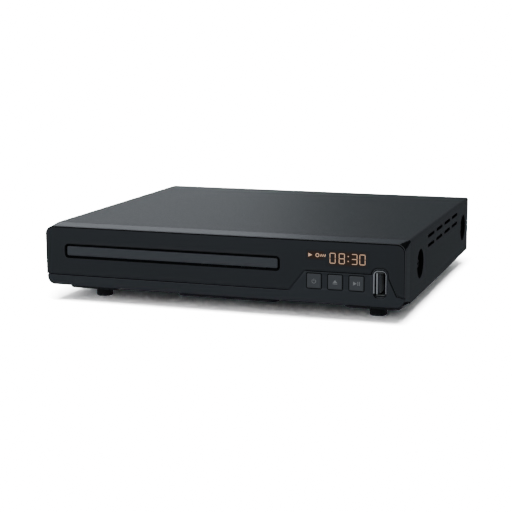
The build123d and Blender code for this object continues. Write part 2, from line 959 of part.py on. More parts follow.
def loader_frame():
    """The moulded frame: two walls, the deck that the tray runs on, posts and gear plate."""
    y = (loader_front_y, loader_rear_y)
    deck = block(span(tray_x, 2 * loader_outer), y, (deck_bottom_z, deck_top_z))
    window_y = (front_y + window_front_setback, window_rear_y)
    deck = deck - block(span(tray_x, 2 * window_half), window_y, (deck_bottom_z, deck_top_z))
    gear_hole = tip_radius(rack_gear_radius) + gear_gap
    frame = deck - upright(gear_hole, tray_gear_x, rack_gear_y, (deck_bottom_z, deck_top_z))
    for side in (-1, 1):
        wall_x = sorted((tray_x + side * loader_inner, tray_x + side * loader_outer))
        frame = frame + block(wall_x, y, (floor_z, loader_top_z))
        guide_x = sorted((tray_x + side * (tray_half + slide_gap), tray_x + side * loader_inner))
        frame = frame + block(guide_x, y, (deck_bottom_z, tray_floor_z))
        for retainer_y in retainer_places():
            tab = sorted((tray_x + side * (tray_half - loader_wall), tray_x + side * loader_inner))
            frame = frame + block(tab, span(retainer_y, retainer_width), (retainer_z, loader_top_z))
    rear = block(span(tray_x, 2 * loader_outer), (loader_rear_y - loader_wall, loader_rear_y),
                 (floor_z, deck_top_z))
    frame = frame + rear + motor_shelf() + gear_plate() + cam_guides()
    front_foot_y = (loader_front_y, seam_y + tongue_length + sheet_gap)
    over_tongue = (floor_z, floor_z + tongue_wall + slide_gap)
    frame = frame - block(span(tray_x, 2 * loader_outer), front_foot_y, over_tongue)
    for x, post_y in loader_posts():
        low = floor_under(x, post_y)
        frame = frame + upright(post_radius, x, post_y, (low, deck_top_z))
        frame = frame - upright(screw_radius + thread_gap, x, post_y, (low, deck_bottom_z))
    for side in (-1, 1):
        frame = frame + pivot_bracket(side)
    return frame


def retainer_places():
    """The tabs over the edges of the tray, along the frame."""
    front = loader_front_y + retainer_width
    rear = loader_rear_y - retainer_width
    return (front, (front + rear) / 2, rear)


def motor_shelf():
    """The shelf that hangs the loading motor under the deck."""
    half = motor_radius + loader_wall
    y = (loader_front_y, rack_gear_y + motor_radius + loader_wall)
    sheet_z = (shelf_z, shelf_z + shelf_thickness)
    shelf = block(span(motor_x, 2 * half), y, sheet_z)
    for edge in ((y[0], y[0] + loader_wall), (y[1] - loader_wall, y[1])):
        shelf = shelf + block(span(motor_x, 2 * half), edge, (shelf_z, deck_bottom_z))
    return shelf - upright(motor_shaft_radius + gear_gap, motor_x, rack_gear_y, sheet_z)


def gear_plate():
    """The plate under the gears, with an axle pin for each."""
    x = (pulley_x - pinion_radius * 2, tray_x + loader_inner)
    y = span(rack_gear_y, 2 * large_gear_radius)
    plate = block(x, y, (gear_plate_z, gear_top_z))
    plate = plate + upright(gear_pin_radius, pulley_x, rack_gear_y, (gear_plate_z, deck_bottom_z))
    return plate + upright(gear_pin_radius, tray_gear_x, rack_gear_y, (gear_plate_z, deck_top_z))


def cam_guides():
    """Small blocks under the deck in front of and behind the cam slider."""
    front = (front_y + cam_setback - slide_gap - loader_wall, front_y + cam_setback - slide_gap)
    rear_low = front_y + cam_setback + cam_thickness + slide_gap
    rear = (rear_low, rear_low + loader_wall / 2)
    blocks = []
    z = (lift_pin_z + pivot_radius, deck_bottom_z)
    for x in (tray_x - retainer_width, tray_x + retainer_width):
        for y in (front, rear):
            blocks.append(block(span(x, retainer_width / 2), y, z))
    return joined(blocks)


def pivot_bracket(side):
    """A hanging bracket with the bore for one pivot of the lift frame."""
    x = sorted((tray_x + side * (lift_half + slide_gap), tray_x + side * (lift_half + lift_bar)))
    y = span(lift_pivot_y, lift_bar + 2 * loader_wall)
    z = (lift_pivot_z - pivot_radius - loader_wall, deck_top_z)
    deck_x = sorted((tray_x + side * (lift_half + slide_gap), tray_x + side * (window_half + loader_wall)))
    bracket = block(x, y, (z[0], deck_bottom_z)) + block(deck_x, y, (deck_bottom_z, deck_top_z))
    return bracket - crosswise(pivot_radius + pivot_fit, x, lift_pivot_y, lift_pivot_z)


def disc_tray():
    """The sliding tray: a rim, two disc recesses, a slot for the traverse, ribs and a rack."""
    x = (tray_x - tray_half, tray_x + tray_half)
    y = (tray_front_y, tray_rear_y)
    tray = block(x, y, (tray_floor_z, tray_top_z))
    tray = tray - upright(tray_recess_radius, tray_x, disc_y, (tray_seat_z, tray_top_z))
    small = small_disc_diameter / 2 + disc_play
    tray = tray - upright(small, tray_x, disc_y, (tray_seat_z - small_recess_depth, tray_top_z))
    for side in (-1, 1):
        notch_x = tray_x + side * tray_half
        tray = tray - upright(tray_side * 2, notch_x, disc_y, (tray_seat_z, tray_top_z))
        rail = sorted((notch_x, notch_x - side * rib_thickness))
        tray = tray + block(rail, y, (tray_bottom_z, tray_floor_z))
    slot = (disc_y, tray_rear_y)
    tray = tray - upright(tray_slot_half, tray_x, disc_y, (tray_floor_z, tray_top_z))
    tray = tray - block(span(tray_x, 2 * tray_slot_half), slot, (tray_floor_z, tray_top_z))
    return tray + rack()


def rack():
    """The toothed rib under the tray; its teeth point to the middle and mesh with the tray gear."""
    pitch = pi * gear_module
    tip_x = rack_x - gear_module * tip_share
    root_x = rack_x + gear_module * root_share
    slope = tan(radians(pressure_angle))
    half_pitch_line = pitch / 4 - gear_backlash / 2
    line = []
    count = int((tray_rear_y - tray_front_y) / pitch) - 1
    first = -int((rack_gear_y - tray_front_y) / pitch) + 0.5
    for index in range(count):
        y = rack_gear_y + (first + index) * pitch
        root = half_pitch_line + (root_x - rack_x) * slope
        tip = half_pitch_line - (rack_x - tip_x) * slope
        line.append((root_x, y - root))
        line.append((tip_x, y - tip))
        line.append((tip_x, y + tip))
        line.append((root_x, y + root))
    back = root_x + rib_thickness
    line.append((back, line[-1][1]))
    line.append((back, line[0][1]))
    return plaque(make_face(Polyline(*line, close=True)), (tray_bottom_z, tray_floor_z))


def clamp_bridge():
    """The bar across the frame that carries the disc clamp."""
    y = span(disc_y, bridge_length)
    z = (loader_top_z, loader_top_z + bridge_sheet)
    bar = block(span(tray_x, 2 * loader_outer), y, z)
    rib_x = span(tray_x, 2 * loader_inner)
    rib_z = (loader_top_z, loader_top_z + 2 * bridge_sheet)
    for edge in (y[0], y[1] - bridge_sheet):
        bar = bar + block(rib_x, (edge, edge + bridge_sheet), rib_z)
    return bar - upright(puck_neck_radius + gear_gap, tray_x, disc_y, z)


def clamp_puck():
    """The round clamp that hangs in the bridge and spins with the disc."""
    low = loader_top_z - puck_gap - puck_disc
    top = loader_top_z + bridge_sheet + slide_gap
    puck = upright(puck_radius, tray_x, disc_y, (low, low + puck_disc))
    puck = puck + upright(puck_neck_radius, tray_x, disc_y, (low + puck_disc, top))
    puck = puck + upright(puck_radius, tray_x, disc_y, (top, top + puck_disc))
    return puck - upright(hub_radius + puck_disc, tray_x, disc_y, (low, low + puck_disc))


# Gears


def tip_radius(pitch_radius):
    """The radius over a gear's teeth."""
    return pitch_radius + gear_module * tip_share


def involute(angle):
    """The involute of a pressure angle."""
    return tan(angle) - angle


def half_tooth(pitch_radius, radius):
    """Half the angle that a tooth takes at a radius."""
    teeth = 2 * pitch_radius / gear_module
    base = pitch_radius * cos(radians(pressure_angle))
    at_pitch = pi / (2 * teeth) - gear_backlash / (2 * pitch_radius)
    here = involute(acos(min(1.0, base / radius)))
    return at_pitch + involute(radians(pressure_angle)) - here


def gear_wheel(teeth, x, y, z, phase):
    """A spur gear over the span z; phase is the angle of its first tooth."""
    pitch_radius = gear_module * teeth / 2
    base = pitch_radius * cos(radians(pressure_angle))
    root = pitch_radius - gear_module * root_share
    tip = tip_radius(pitch_radius)
    flank = [root] + [base + (tip - base) * step / 3 for step in range(4)]
    line = []
    for index in range(teeth):
        middle = phase + 2 * pi * index / teeth
        rise = [(radius, middle - half_tooth(pitch_radius, radius)) for radius in flank]
        fall = [(radius, middle + half_tooth(pitch_radius, radius)) for radius in reversed(flank)]
        line.extend(rise + fall)
    points = [(radius * cos(angle), radius * sin(angle)) for radius, angle in line]
    outline = Pos(x, y) * make_face(Polyline(*points, close=True))
    return plaque(outline, z)


def tray_gear():
    """The tray's gear: a small wheel on the rack over a large one that the pinion drives."""
    large = (large_gear_z, large_gear_z + large_gear_width)
    neck = (large[1], pulley_top_z + slide_gap)
    upper = (neck[1], tray_floor_z - slide_gap)
    wheel = gear_wheel(large_gear_teeth, tray_gear_x, rack_gear_y, large, 0)
    wheel = wheel + upright(gear_pin_radius * 2, tray_gear_x, rack_gear_y, neck)
    wheel = wheel + gear_wheel(rack_gear_teeth, tray_gear_x, rack_gear_y, upper, 0)
    foot_z = (gear_top_z + running_gap, large[0])
    wheel = wheel + upright(gear_pin_radius * 2, tray_gear_x, rack_gear_y, foot_z)
    bore_z = (gear_top_z, deck_top_z + running_gap)
    return wheel - upright(gear_pin_radius + running_gap, tray_gear_x, rack_gear_y, bore_z)


def pulley_gear():
    """The belt pulley with the pinion under it."""
    low = gear_top_z + running_gap
    pinion = gear_wheel(pinion_teeth, pulley_x, rack_gear_y, (low, pulley_z), pi / pinion_teeth)
    wheel = pinion + grooved_wheel(pulley_radius, pulley_x)
    return wheel - upright(gear_pin_radius + running_gap, pulley_x, rack_gear_y, (low, pulley_top_z))


def grooved_wheel(radius, x):
    """A belt pulley: two rims with a groove between them."""
    rim = (pulley_height - belt_thickness - 4 * belt_gap) / 2
    wheel = upright(radius, x, rack_gear_y, (pulley_z, pulley_top_z))
    groove = (pulley_z + rim, pulley_top_z - rim)
    ring = upright(radius + 1, x, rack_gear_y, groove)
    return wheel - (ring - upright(radius - pulley_groove, x, rack_gear_y, groove))


def motor_pulley():
    """The small pulley on the loading motor's shaft."""
    wheel = grooved_wheel(motor_pulley_radius, motor_x)
    shaft_z = (shelf_z - motor_shaft_radius, pulley_z)
    return wheel + upright(motor_shaft_radius, motor_x, rack_gear_y, shaft_z)


def drive_belt():
    """The flat belt around both pulleys, on the tangents that they share."""
    low = pulley_z + (pulley_height - belt_thickness) / 2
    inner = belt_loop(belt_gap)
    outer = belt_loop(belt_gap + belt_thickness)
    return plaque(outer - inner, (low, low + belt_thickness))


def belt_loop(grow):
    """The area inside a belt that runs at a distance from the two grooves."""
    large = pulley_radius - pulley_groove + grow
    small = motor_pulley_radius - pulley_groove + grow
    lean = (large - small) / belt_span
    rise = (1 - lean * lean) ** 0.5
    line = [
        (pulley_x - large * lean, rack_gear_y + large * rise),
        (motor_x - small * lean, rack_gear_y + small * rise),
        (motor_x - small * lean, rack_gear_y - small * rise),
        (pulley_x - large * lean, rack_gear_y - large * rise),
    ]
    loop = make_face(Polyline(*line, close=True))
    loop = loop + Pos(pulley_x, rack_gear_y) * Circle(large)
    return loop + Pos(motor_x, rack_gear_y) * Circle(small)


def loading_motor():
    """The loading motor under its shelf."""
    can_z = (floor_z + tongue_wall + slide_gap, shelf_z)
    can = upright(motor_radius, motor_x, rack_gear_y, can_z)
    well_z = (shelf_z - loader_wall, shelf_z)
    return can - upright(motor_shaft_radius + running_gap, motor_x, rack_gear_y, well_z)


# Traverse


def damper_places():
    """Where the four rubber dampers stand on the lift frame."""
    places = []
    for side in (-1, 1):
        for setback in damper_setbacks:
            places.append((tray_x + side * (lift_half - lift_bar / 2), front_y + setback))
    return places


def lift_frame():
    """The moulded ring with two rear pivots, a front pin for the cam and four damper pins."""
    y = (lift_front_y, lift_pivot_y + lift_bar / 2)
    z = (lift_bottom, lift_top_z)
    ring = block(span(tray_x, 2 * lift_half), y, z)
    inside_y = (y[0] + lift_bar, y[1] - lift_bar)
    ring = ring - block(span(tray_x, 2 * (lift_half - lift_bar)), inside_y, z)
    boss_z = (lift_bottom, lift_pin_z + pivot_radius)
    ring = ring + block(span(tray_x, 2 * lift_bar), (y[0], y[0] + lift_bar), boss_z)
    pin_y = (front_y + cam_setback - slide_gap, lift_front_y)
    ring = ring + lengthwise(pivot_radius, tray_x, pin_y, lift_pin_z)
    for side in (-1, 1):
        pivot_x = sorted((tray_x + side * lift_half, tray_x + side * (lift_half + lift_bar)))
        ring = ring + crosswise(pivot_radius, pivot_x, lift_pivot_y, lift_pivot_z)
    for x, place_y in damper_places():
        ring = ring + upright(pivot_radius, x, place_y, (lift_top_z, traverse_top_z))
    return ring


def dampers():
    """Four rubber rings between the lift frame and the traverse."""
    rings = []
    for x, y in damper_places():
        ring = upright(damper_radius, x, y, (lift_top_z, traverse_z))
        rings.append(ring - upright(pivot_radius + pivot_fit, x, y, (lift_top_z, traverse_z)))
    return joined(rings)


def traverse_deck():
    """The moulded traverse: a plate with ears on the dampers and lugs for rods and screw."""
    z = (traverse_z, traverse_top_z)
    y = (lift_front_y + pivot_radius, rod_rear_y + lug_length)
    deck = block(span(tray_x, 2 * traverse_half), y, z)
    for x, place_y in damper_places():
        ear_x = sorted((x, tray_x))
        deck = deck + upright(damper_radius, x, place_y, z)
        deck = deck + block(ear_x, span(place_y, 2 * damper_radius), z)
        deck = deck - upright(pivot_radius + screw_play, x, place_y, z)
    window_y = (disc_y + turntable_radius, rod_rear_y)
    deck = deck - block(span(tray_x, 2 * (pickup_half + pickup_gap)), window_y, z)
    deck = deck - upright(spindle_radius + gear_gap, tray_x, disc_y, z)
    screw_x = tray_x + sled_screw_offset
    notch_x = (screw_x - sled_motor_radius - slide_gap, screw_x + sled_motor_radius + slide_gap)
    deck = deck - block(notch_x, (sled_motor_y(), y[1]), z)
    lug_z = (rod_z - lug_half, traverse_z)
    for side in (-1, 1):
        x = tray_x + side * rod_offset
        lug_x = (x - lug_half, x + lug_half - lift_thickness / 6)
        for lug_y in (lug_front_y, rod_rear_y):
            deck = deck + block(lug_x, (lug_y, lug_y + lug_length), lug_z)
        deck = deck - lengthwise(rod_radius + pivot_fit, x, (lug_front_y, y[1]), rod_z)
    for lug_y in (lug_front_y, sled_motor_y() - lug_length):
        deck = deck + block(span(screw_x, 2 * lug_half), (lug_y, lug_y + lug_length), lug_z)
    bore_y = (lug_front_y, sled_motor_y())
    return deck - lengthwise(sled_journal_radius + running_gap, screw_x, bore_y, rod_z)


def sled_motor_y():
    """The front face of the sled motor."""
    return rod_rear_y + lug_length - sled_motor_length


def guide_rods():
    """Two polished rods that the pickup rides on."""
    y = (lug_front_y, rod_rear_y + lug_length)
    rods = [lengthwise(rod_radius, tray_x + side * rod_offset, y, rod_z) for side in (-1, 1)]
    return joined(rods)


def sled_motor():
    """The small round motor that turns the sled screw."""
    y = (sled_motor_y(), sled_motor_y() + sled_motor_length)
    return lengthwise(sled_motor_radius, tray_x + sled_screw_offset, y, rod_z)


def sled_screw():
    """The screw: an off-centre circle twisted along the shaft, with a journal at each end."""
    x = tray_x + sled_screw_offset
    start = lug_front_y + lug_length + running_gap
    end = sled_motor_y() - lug_length - running_gap
    shift = sled_screw_radius / 8
    ring = Circle(sled_screw_radius - shift).face().outer_wire().moved(Pos(shift, 0, 0))
    turns = 360 * (end - start) / sled_screw_pitch
    thread = Solid.extrude_linear_with_rotation(ring, (0, 0, 0), (0, 0, end - start), turns)
    thread = Pos(x, start, rod_z) * Rot(-90, 0, 0) * thread
    journals = (lug_front_y + running_gap, end + lug_length)
    return thread + lengthwise(sled_journal_radius, x, journals, rod_z)


def spindle_motor():
    """The flat motor under the traverse."""
    return upright(spindle_motor_radius, tray_x, disc_y, (traverse_z - spindle_motor_height, traverse_z))


def turntable():
    """The turntable: a stem on the motor, a seat for the disc and a hub with a bevelled rim."""
    rim_z = seat_z - turntable_rim
    wheel = upright(spindle_radius, tray_x, disc_y, (traverse_z + slide_gap, rim_z))
    wheel = wheel + upright(turntable_radius, tray_x, disc_y, (rim_z, seat_z))
    hub = upright(hub_radius, tray_x, disc_y, (seat_z, hub_top_z))
    hub = chamfer(hub.edges().sort_by(Axis.Z)[-1], hub_height / 2)
    return wheel + hub


def optical_pickup():
    """The pickup's body with a bored boss on each rod and an arm beside the screw."""
    y = (pickup_y, pickup_y + pickup_length)
    low = lift_bottom + slide_gap
    body = block(span(tray_x, 2 * pickup_half), y, (low, low + pickup_height))
    boss_z = (rod_z - lug_half + slide_gap, traverse_z - slide_gap)
    left = (tray_x - rod_offset - lug_half, tray_x - pickup_half)
    body = body + block(left, (y[0] + pickup_gap, y[1] - pickup_gap), boss_z)
    arm_end = tray_x + sled_screw_offset - sled_screw_radius - slide_gap
    arm_y = (y[0] + pickup_gap / 2, y[0] + pickup_length / 2 - pickup_gap / 2)
    body = body + block((tray_x + pickup_half, arm_end), arm_y, boss_z)
    for side in (-1, 1):
        body = body - lengthwise(rod_radius + pivot_fit, tray_x + side * rod_offset, y, rod_z)
    holder_z = (low + pickup_height, lens_low_z())
    holder_y = (disc_y + turntable_radius + sheet_gap, lens_y() + 2 * lens_radius)
    return body + block(span(tray_x, 4 * lens_radius), holder_y, holder_z)


def lens_y():
    """The middle of the lens with the sled at its inner end."""
    return disc_y + lens_setback


def lens_low_z():
    """The underside of the lens ring."""
    return lift_bottom + slide_gap + pickup_height + lens_radius * 0.7


def pickup_lens():
    """The round lens with a domed top."""
    low = lens_low_z()
    lens = upright(lens_radius, tray_x, lens_y(), (low, low + lens_radius / 2))
    return fillet(lens.edges().sort_by(Axis.Z)[-1], lens_radius / 3)


def cam_slider():
    """The upright slider whose slanted slot lifts the front pin."""
    y = (front_y + cam_setback, front_y + cam_setback + cam_thickness)
    x = (tray_x - cam_travel - 2 * loader_margin, tray_x + 2.5 * loader_margin)
    plate = block(x, y, (floor_z + slide_gap, deck_bottom_z - slide_gap))
    drop = (lift_pivot_y - (y[0] + y[1]) / 2) * sin(radians(lift_angle))
    slope = degrees(atan2(drop, cam_travel))
    middle = (tray_x - cam_travel / 2, lift_pin_z - drop / 2)
    size = (hypot(cam_travel, drop), 2 * (pivot_radius + cam_pin_gap))
    slot = Pos(*middle) * SlotCenterToCenter(*size, rotation=slope)
    return plate - slab(slot, y)


# Boards and sockets


def on_main(across, along):
    """A place on the main board, as shares of its width and length."""
    x = board_left + across * (board_right - board_left)
    return x, board_front_y + along * (board_rear_y - board_front_y)


def on_power(across, along):
    """A place on the power board, as shares of its width and length."""
    x = power_board_left + across * (power_board_right - power_board_left)
    return x, strip_front_y + along * (board_rear_y - strip_front_y)


def board_posts():
    """The screwed posts under the boards: four for the main board, three for the power board."""
    inset = standoff_radius + board_side_gap
    right = board_right - inset
    rear = board_rear_y - inset * 1.5
    return [
        (board_left + inset, board_front_y + inset),
        (right, board_front_y + inset),
        (right, on_main(1, middle_post_row)[1]),
        (main_board_rear_left + inset, rear),
        (power_board_left + inset / 2, board_rear_y - inset),
        on_power(*power_post_place),
        (power_board_right - inset, rear),
    ]


def with_screw_holes(board):
    """A board with the clearance holes of its screws."""
    for x, y in board_posts():
        board = board - upright(screw_radius + screw_play, x, y, (board_z, board_top_z))
    return board


def main_board():
    """The L-shaped main board: down the right side and along the rear."""
    z = (board_z, board_top_z)
    board = block((board_left, board_right), (board_front_y, board_rear_y), z)
    board = board + block((main_board_rear_left, board_left), (strip_front_y, board_rear_y), z)
    return with_screw_holes(board)


def power_board():
    """The power board behind the loader."""
    x = (power_board_left, power_board_right)
    board = block(x, (strip_front_y, board_rear_y), (board_z, board_top_z))
    return with_screw_holes(board)


def on_board(place, wide, long, high):
    """A rectangular component on top of a board."""
    x, y = place
    return block(span(x, wide), span(y, long), (board_top_z, board_top_z + high))


def board_chips():
    """The processor, two memories, a motor driver and a regulator."""
    return joined([
        on_board(on_main(*processor_place), processor_size, processor_size, processor_height),
        on_board(on_main(*memory_place), memory_width, memory_length, memory_height),
        on_board(on_main(*flash_place), memory_length / 2, memory_width / 2, memory_height),
        on_board(on_main(*driver_place), driver_width, driver_length, driver_height),
        on_board(on_main(*regulator_place), regulator_size, regulator_size, regulator_height),
    ])


def board_connectors():
    """Cream connectors: front ribbon, pickup ribbon, motor plug and the two power plugs."""
    rear = front_board_y + board_sheet
    wide = ribbon_width + ribbon_margin
    front_z = span(ribbon_front_z(), plug_height)
    pickup_x = board_left + connector_height
    pickup = (pickup_x, on_main(0, pickup_row)[1])
    motor = (pickup_x, on_main(0, motor_row)[1])
    plug_y = strip_front_y + plug_row_setback
    power_out = (power_board_right - plug_inset, plug_y)
    power_in = (main_board_rear_left + plug_inset, plug_y)
    plugs = [on_board(place, plug_width, plug_length, plug_height) for place in (motor, power_out, power_in)]
    return joined([
        block(span(ribbon_x, wide), (rear, rear + connector_depth), front_z),
        on_board((ribbon_x, ribbon_row_y()), wide, connector_height, connector_height),
        on_board(pickup, connector_height, wide, connector_depth),
        *plugs,
    ])


def ribbon_row_y():
    """The depth of the ribbon connector on the main board."""
    return on_main(0, ribbon_row)[1]


def standing(place, radius, high):
    """A round component that stands on a board."""
    x, y = place
    return upright(radius, x, y, (board_top_z, board_top_z + high))


def capacitors():
    """Electrolytic capacitors: the bulk one and the small ones of both boards."""
    cans = [
        standing(on_power(*bulk_capacitor_place), bulk_capacitor_radius, bulk_capacitor_height),
        standing(on_power(*small_capacitor_place), small_capacitor_radius, small_capacitor_height),
        standing(on_main(*rail_capacitor_place), rail_capacitor_radius, rail_capacitor_height),
    ]
    for place in filter_capacitor_places:
        cans.append(standing(on_main(*place), filter_capacitor_radius, filter_capacitor_height))
    for place in output_capacitor_places:
        cans.append(standing(on_main(*place), small_capacitor_radius, small_capacitor_height))
    return joined(cans)


def transformer():
    """The switching transformer: a ferrite core around a wound bobbin."""
    place = on_power(*transformer_place)
    core = on_board(place, transformer_width, transformer_core, transformer_height)
    return core + on_board(place, bobbin_width, bobbin_length, bobbin_height)


def heatsink():
    """A folded aluminium heatsink with its transistor."""
    x, y = on_power(*heatsink_place)
    plate = on_board((x, y), heatsink_width, heatsink_sheet, heatsink_height)
    rear_y = y + (heatsink_sheet + transistor_sheet) / 2
    return plate + on_board((x, rear_y), transistor_width, transistor_sheet, transistor_height)


def fuse():
    """A glass fuse between two clips."""
    x = inlet_x
    y = on_power(0, fuse_row)[1]
    z = board_top_z + fuse_height
    half = fuse_length / 2
    whole = crosswise(fuse_radius, (x - half, x + half), y, z)
    for side in (-1, 1):
        cap_x = sorted((x + side * half, x + side * (half - fuse_cap_length)))
        whole = whole + crosswise(fuse_cap_radius, cap_x, y, z)
        clip = (x + side * (half - fuse_cap_length / 2), y)
        whole = whole + on_board(clip, fuse_clip_width, fuse_clip_length, fuse_height)
    return whole


def jack_z():
    """The height of the round jacks' axes."""
    return board_top_z + jack_block / 2


def ac_inlet():
    """The two-pin mains inlet with its figure-of-eight mouth."""
    z = (board_top_z, board_top_z + inlet_height)
    y = (back_y - inlet_depth, back_y)
    body = block(span(inlet_x, inlet_width), y, z)
    middle = Pos(inlet_x, (z[0] + z[1]) / 2)
    body = body - slab(middle * SlotOverall(inlet_mouth_width, inlet_mouth_height),
                       (back_y - inlet_cavity_depth, back_y))
    for side in (-1, 1):
        x = inlet_x + side * inlet_pin_pitch / 2
        pin_y = (back_y - inlet_cavity_depth - inlet_pin_radius, back_y - inlet_pin_radius * 2)
        body = body + lengthwise(inlet_pin_radius, x, pin_y, (z[0] + z[1]) / 2)
    return body


def scart_socket():
    """The 21-pin audio and video socket: a ring channel round a block with two rows of slots."""
    z = (board_top_z, board_top_z + scart_height)
    body = block(span(scart_x, scart_width), (back_y - scart_depth, back_y), z)
    middle = Pos(scart_x, (z[0] + z[1]) / 2)
    rim = 2 * scart_wall
    core = rim + 2 * scart_channel
    ring = middle * Rectangle(scart_width - rim, scart_height - rim)
    ring = ring - middle * Rectangle(scart_width - core, scart_height - core)
    body = body - slab(ring, (back_y - scart_channel_depth, back_y))
    slots = []
    for column in range(scart_slot_columns):
        x = scart_slot_pitch * (column - (scart_slot_columns - 1) / 2)
        for row in (-scart_row_offset, scart_row_offset):
            slots.append(middle * Pos(x, row) * Rectangle(scart_slot_length, scart_slot_height))
    return body - slab(joined(slots), (back_y - scart_slot_depth, back_y))


def hdmi_socket():
    """The metal HDMI socket with its contact tongue."""
    z = (board_top_z, board_top_z + hdmi_height)
    y = (back_y - hdmi_depth, back_y)
    shell = block(span(hdmi_x, hdmi_width), y, z)
    wide = hdmi_width / 2 - hdmi_wall
    low = z[0] + hdmi_floor
    high = z[1] - hdmi_floor
    line = [
        (hdmi_x - wide, high),
        (hdmi_x + wide, high),
        (hdmi_x + wide, low + hdmi_rise),
        (hdmi_x + wide - hdmi_slant, low),
        (hdmi_x - wide + hdmi_slant, low),
        (hdmi_x - wide, low + hdmi_rise),
    ]
    inside_y = (y[0] + socket_back, y[1])
    shell = shell - slab(make_face(Polyline(*line, close=True)), inside_y)
    tongue_y = (y[0] + socket_back, y[1] - socket_back)
    tongue_z = span((z[0] + z[1]) / 2 + hdmi_tongue_offset, hdmi_tongue_height)
    return shell + block(span(hdmi_x, hdmi_tongue_width), tongue_y, tongue_z)


def jack_blocks():
    """The moulded bodies of the three round jacks."""
    blocks = []
    for index in range(jack_count):
        x = jack_x + index * jack_pitch
        y = (panel_in_y - jack_block, panel_in_y)
        body = block(span(x, jack_block), y, (board_top_z, board_top_z + jack_block))
        bore_y = (y[0] + socket_back, y[1])
        blocks.append(body - lengthwise(jack_bore_radius, x, bore_y, jack_z()))
    return joined(blocks)


def jack_barrels():
    """The round metal barrels of the jacks, through the rear panel."""
    barrels = []
    for index in range(jack_count):
        x = jack_x + index * jack_pitch
        y = (panel_in_y, back_y + jack_reach)
        barrel = lengthwise(jack_radius, x, y, jack_z())
        barrels.append(barrel - lengthwise(jack_bore_radius, x, y, jack_z()))
    return joined(barrels)


def ribbon_front_z():
    """The height of the ribbon connector on the front board."""
    return board_top_z + ribbon_rise


def ribbon_cable():
    """The flat cable from the front board to the main board."""
    start = front_board_y + board_sheet + connector_depth
    end = ribbon_row_y() - connector_height / 2
    reach = end - start
    low = board_top_z + ribbon_low
    route = [
        (start, ribbon_front_z()),
        (start + reach * 0.25, ribbon_front_z()),
        (start + reach * 0.55, ribbon_front_z() + ribbon_hump),
        (start + reach * 0.8, low),
        (end, low),
    ]
    path = FilletPolyline(*route, radius=ribbon_bend)
    side = Plane(origin=(ribbon_x - ribbon_width / 2, 0, 0), x_dir=(0, 1, 0), z_dir=(1, 0, 0))
    return extrude(side * trace(path, line_width=ribbon_sheet), amount=ribbon_width)


def power_harness():
    """Four short wires between the plugs of the two boards."""
    x = (power_board_right - wire_inset, main_board_rear_left + wire_inset)
    wires = []
    for index in range(wire_count):
        y = strip_front_y + plug_row_setback + (index - (wire_count - 1) / 2) * wire_pitch
        wires.append(crosswise(wire_radius, x, y, board_top_z + plug_height / 2))
    return joined(wires)


def board_screws():
    """The screws of both boards."""
    screws = []
    for x, y in board_posts():
        head = upright(screw_head_radius, x, y, (board_top_z, board_top_z + screw_head_height))
        screws.append(head + upright(screw_radius, x, y, (floor_z, board_top_z)))
    return joined(screws)


def loader_screws():
    """The screws that hold the loader from under the chassis."""
    screws = []
    for x, y in loader_posts():
        skin = floor_under(x, y) - chassis_sheet
        head = upright(screw_head_radius, x, y, (skin - screw_head_height, skin))
        screws.append(head + upright(screw_radius, x, y, (skin, skin + 4 * screw_head_height)))
    return joined(screws)


os.makedirs("parts", exist_ok=True)

pieces = {
    "top_cover": top_cover,
    "bottom_chassis": bottom_chassis,
    "front_bezel": front_bezel,
    "front_plate": front_plate,
    "rear_panel": rear_panel,
    "case_screws": case_screws,
    "loader_screws": loader_screws,
    "board_screws": board_screws,
    "display_module": display_module,
    "ir_receiver": ir_receiver,
    "front_board": front_board,
    "usb_shell": usb_shell,
    "usb_tongue": usb_tongue,
    "loader_frame": loader_frame,
    "disc_tray": disc_tray,
    "tray_door": tray_door,
    "clamp_bridge": clamp_bridge,
    "clamp_puck": clamp_puck,
    "lift_frame": lift_frame,
    "dampers": dampers,
    "traverse_deck": traverse_deck,
    "spindle_motor": spindle_motor,
    "turntable": turntable,
    "optical_pickup": optical_pickup,
    "pickup_lens": pickup_lens,
    "guide_rods": guide_rods,
    "sled_motor": sled_motor,
    "sled_screw": sled_screw,
    "loading_motor": loading_motor,
    "motor_pulley": motor_pulley,
    "drive_belt": drive_belt,
    "pulley_gear": pulley_gear,
    "tray_gear": tray_gear,
    "cam_slider": cam_slider,
    "main_board": main_board,
    "board_chips": board_chips,
    "board_connectors": board_connectors,
    "capacitors": capacitors,
    "power_board": power_board,
    "transformer": transformer,
    "heatsink": heatsink,
    "fuse": fuse,
    "ac_inlet": ac_inlet,
    "scart_socket": scart_socket,
    "hdmi_socket": hdmi_socket,
    "jack_blocks": jack_blocks,
    "jack_barrels": jack_barrels,
    "ribbon_cable": ribbon_cable,
    "power_harness": power_harness,
}

for name, make in pieces.items():
    save(name, make())

for place, (foot_place_x, foot_place_y) in foot_places().items():
    save(f"foot_{place}", foot(foot_place_x, foot_place_y))

for index, name in enumerate(("power", "eject", "play")):
    save(f"button_{name}", button(index))
    save(f"plunger_{name}", plunger(index))

save("tact_switches", joined([switch(index) for index in range(button_count)]))
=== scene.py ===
# %% [markdown]
# # A compact disc player
#
# The player is a folded steel cover over a shallow steel tray, with a moulded front. Its solids come
# from a CAD model in metres, so nothing has to be fitted: each solid already stands in its place.
# This lesson dresses those solids. It rounds their edges, adds the small pieces that a drawing of
# solids leaves out, and gives every piece a finish that is made of nodes.

# %% Load the frame
import json
from math import cos, pi, radians, sin

import bmesh
import bpy
from mathutils import Matrix, Vector


